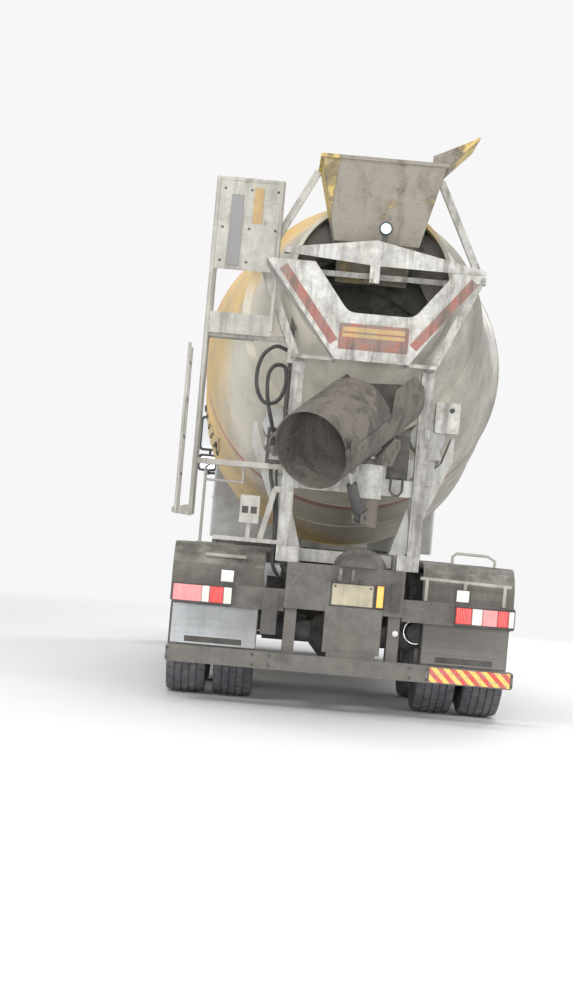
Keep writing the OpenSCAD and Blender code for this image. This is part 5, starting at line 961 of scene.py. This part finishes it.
# Side marker lamps on the guards and on the bumper's ends
side_markers = [
    # node, place along the truck, how far the lamp stands out and in, height of its middle
    ("side_guards", -0.45, 0.012, 0.55),
    ("side_guards", 0.35, 0.012, 0.55),
    ("bumper", 4.52, 0.010, 0.72)]
MARKER_HALF, MARKER_HALF_H, BESIDE_TRUCK = 0.05, 0.015, 1.5
for _, side in SIDES:
    for name, y, deep, z in side_markers:
        x = seat_on(name, (side * BESIDE_TRUCK, y, z), (-side, 0, 0))[0].x
        made.block((x - deep, y - MARKER_HALF, z - MARKER_HALF_H),
                   (x + deep, y + MARKER_HALF, z + MARKER_HALF_H))
made.done("side_markers", "amber_lens", bevel=0.004)

# Cab: wipers, grille, roof lamps, mirrors, door handles, headlamps and plate
BELT_Z, FRONT_LEAN = 1.77, 0.188
WIPER_FOOT_Z, GRILLE_LOW, GRILLE_TOP = 1.805, 1.02, 1.64
wiper_rows = [(0, 0.022), (0.020, 0.020), (0.028, 0.010)]


def on_front(x, z, out=0.0):
    """Point on the cab's sloping front face above the belt, or before it by out."""
    return Vector((x, FRONT_Y - FRONT_LEAN * (z - BELT_Z) + out, z))


for x in (-0.55, 0.10, 0.62):
    made.turned(on_front(x, WIPER_FOOT_Z, -0.004), (0, 1, 0.18), wiper_rows, 16)
    made.tube([on_front(x, WIPER_FOOT_Z, 0.014), on_front(x - 0.10, 1.88, 0.012),
               on_front(x - 0.24, 2.109, -0.008)], 0.007, 8)
    made.bar(on_front(x - 0.44, 2.03, -0.012), on_front(x - 0.06, 2.18, -0.012), 0.006, 8)
made.done("wipers", "dark_plastic", body="cab")
made.block((-0.745, FRONT_Y - 0.0015, GRILLE_LOW), (0.745, FRONT_Y + 0.0015, GRILLE_TOP))
for k in range(37):
    x = -0.72 + 0.04 * k
    made.block((x - 0.003, FRONT_Y, GRILLE_LOW), (x + 0.003, FRONT_Y + 0.006, GRILLE_TOP))
made.done("grille_mesh", "cast_dark", body="cab")
for k in range(6):
    z = GRILLE_LOW + 0.020 + 0.105 * k
    made.block((-0.760, FRONT_Y - SUNK, z), (0.760, FRONT_Y + 0.014, z + 0.045))
made.done("grille_slats", "dark_plastic", 0.005, "cab")
for x in (-0.66, -0.22, 0.22, 0.66):
    made.block((x - 0.045, FRONT_Y - 0.061, 2.765), (x + 0.045, FRONT_Y - 0.052, 2.800))
made.done("roof_markers", "amber_lens", 0.004, "cab")
MIRROR_IN, MIRROR_OUT, MIRROR_FRONT, MIRROR_FACE = 1.205, 1.375, 4.522, 4.517
for _, side in SIDES:
    for low, high in ((1.945, 2.085), (2.175, 2.515)):
        x0, x1 = sorted((side * MIRROR_IN, side * MIRROR_OUT))
        outline = round_outline(x0, low, x1, high, 0.03)
        made.skin([[Vector((x, y, z)) for x, z in outline] for y in (MIRROR_FRONT, MIRROR_FACE)])
made.done("mirror_glasses", "mirror_glass", body="cab")
handle_blocks = [
    # inner and outer side, rear and front end, lowest and highest place: plate, two feet, grip
    (1.146, 1.152, 3.50, 3.70, 1.555, 1.645),
    (1.150, 1.172, 3.515, 3.545, 1.600, 1.622),
    (1.150, 1.172, 3.655, 3.685, 1.600, 1.622),
    (1.163, 1.176, 3.510, 3.690, 1.596, 1.626)]
for word, side in SIDES:
    for x0, x1, y0, y1, z0, z1 in handle_blocks:
        made.block((side * x0, y0, z0), (side * x1, y1, z1))
    made.done(f"door_handle_{word}", "dark_plastic", 0.003, f"door_{word}")
reflector_rows = [(0, 0.052), (0.003, 0.050), (0.006, 0.030), (0.007, 0.008)]
HEADLAMP_Z, HEADLAMP_Y = 0.64, FRONT_Y - 0.0065
bezels, reflectors = Solid(), Solid()
for _, side in SIDES:
    for x in (0.795, 0.925):
        place = (side * x, HEADLAMP_Y, HEADLAMP_Z)
        reflectors.turned(place, (0, 1, 0), reflector_rows, 24)
        bezels.hoop(place, (0, 1, 0), 0.052, 0.060, 0.006, 24)
bezels.done("headlamp_bezels", "dark_plastic")
reflectors.done("headlamp_reflectors", "bright_metal")
made.block((-0.26, FRONT_Y - SUNK, 0.655), (0.26, FRONT_Y + 0.006, 0.765))
made.done("front_plate", "pale_plate", bevel=0.002)

# Rivets of the guard panel, and a bare strip and a worn yellow strip on it
GUARD_FACE = seat_behind("platform", -0.94, 3.50)[0].y
for x in (-1.10, -0.91, -0.72):
    for z in (3.16, 3.40, 3.68):
        made.bolt(*seat_behind("platform", x, z), 0.012)
made.done("panel_rivets", "cast_dark")
made.block((-1.050, GUARD_FACE - 0.006, 3.130), (-0.960, GUARD_FACE + SUNK, 3.640))
made.done("panel_strip", "grey_strip", bevel=0.002)
made.block((-0.890, GUARD_FACE - 0.005, 3.440), (-0.820, GUARD_FACE + SUNK, 3.700))
made.done("panel_patch", "worn_yellow", bevel=0.002)

# Round plug in the valve box on the right post, and a light bar on the left mudguard
PLUG_X, PLUG_Z, plug_rows = 0.655, 2.225, [(-0.002, 0.018), (0.005, 0.018), (0.008, 0.012)]
BAR_Z, BAR_OUT, BAR_LEFT, BAR_RIGHT, FEET_IN, FEET_HALF = 1.050, 0.035, -1.02, -0.72, 0.02, 0.010
made.turned(*seat_behind("control_box", PLUG_X, PLUG_Z), plug_rows, 16)
made.done("box_plug", "dark_plastic")
feet = [seat_behind("fenders", x, BAR_Z)[0] for x in (BAR_LEFT + FEET_IN, BAR_RIGHT - FEET_IN)]
bar_y = min(foot.y for foot in feet) - BAR_OUT
for foot in feet:
    made.block((foot.x - FEET_HALF, bar_y, BAR_Z - 0.012),
               (foot.x + FEET_HALF, foot.y + 0.006, BAR_Z + 0.012))
made.bar((BAR_LEFT, bar_y, BAR_Z), (BAR_RIGHT, bar_y, BAR_Z), 0.014)
made.done("fender_bar", "zinc_tube")


# Floor that fades to white away from the truck, and keeps its shadow near it
FLOOR_SIZE, PLAIN_WHITE = 400, (0.93, 0.93, 0.93)


def white_where_seen(s, surface, white_kind, share):
    """Turns a surface to plain white by a share, for what is seen straight, in gloss or through glass."""
    path = s.node("ShaderNodeLightPath")
    seen = path.outputs["Is Camera Ray"]
    for key in ("Is Glossy Ray", "Is Transmission Ray"):
        seen = s.math("MAXIMUM", seen, path.outputs[key])
    white = s.node(white_kind, {"Color": solid(PLAIN_WHITE)})
    blend = s.node("ShaderNodeMixShader", {0: s.times(share, seen), 1: surface, 2: white.outputs[0]})
    s.put(blend.outputs[0], s.out.inputs["Surface"])


s = Shader("floor")
s.finish(s.mix(s.span(s.noise(0.6, 3), 0.3, 0.7, 0.0, 0.15), (0.80, 0.80, 0.79), (0.76, 0.76, 0.75)), 0.85)
from_middle = s.node("ShaderNodeVectorMath", {0: s.coord.outputs["Object"]}, operation="LENGTH")
white_where_seen(s, s.bsdf.outputs[0], "ShaderNodeEmission", s.span(from_middle.outputs["Value"], 6.0, 16.0))
bpy.ops.mesh.primitive_plane_add(size=FLOOR_SIZE, location=(0, 0, 0))
floor = bpy.context.object
floor.name = "floor"
floor.data.materials.append(s.mat)


# World: soft light for the object, plain white behind it
class Sky(Shader):
    """The same small builder for the world's nodes."""

    def __init__(self, world):
        world.use_nodes = True
        self.tree = world.node_tree
        self.tree.nodes.clear()
        self.out = self.node("ShaderNodeOutputWorld")


SOFT_LIGHT = {"Color": (0.93, 0.95, 1.0, 1.0), "Strength": 0.58}
world = bpy.data.worlds.new("world")
bpy.context.scene.world = world
sky = Sky(world)
soft = sky.node("ShaderNodeBackground", SOFT_LIGHT)
white_where_seen(sky, soft.outputs[0], "ShaderNodeBackground", 1.0)


def area_light(name, place, target, power, size):
    """Round lamp that shines from a place to a target."""
    data = bpy.data.lights.new(name, "AREA")
    data.energy = power
    data.shape = "DISK"
    data.size = size
    made = bpy.data.objects.new(name, data)
    made.location = place
    made.rotation_euler = (Vector(target) - Vector(place)).to_track_quat("-Z", "Y").to_euler()
    bpy.context.collection.objects.link(made)


area_light("key", (-6.5, -13.5, 8.5), (0, -2.5, 1.8), 600, 4.0)
area_light("fill", (8.0, -10.0, 5.0), (0, -2.5, 1.8), 300, 6.0)
area_light("top", (0.0, -1.0, 11.0), (0, -1.0, 1.0), 580, 7.0)
area_light("front", (5.5, 13.0, 6.5), (0, 3.0, 1.6), 800, 5.0)
area_light("rear", (-0.7, -17.6, 1.9), (0, -3.5, 2.4), 820, 2.5)
bpy.context.scene.view_settings.view_transform = "Standard"
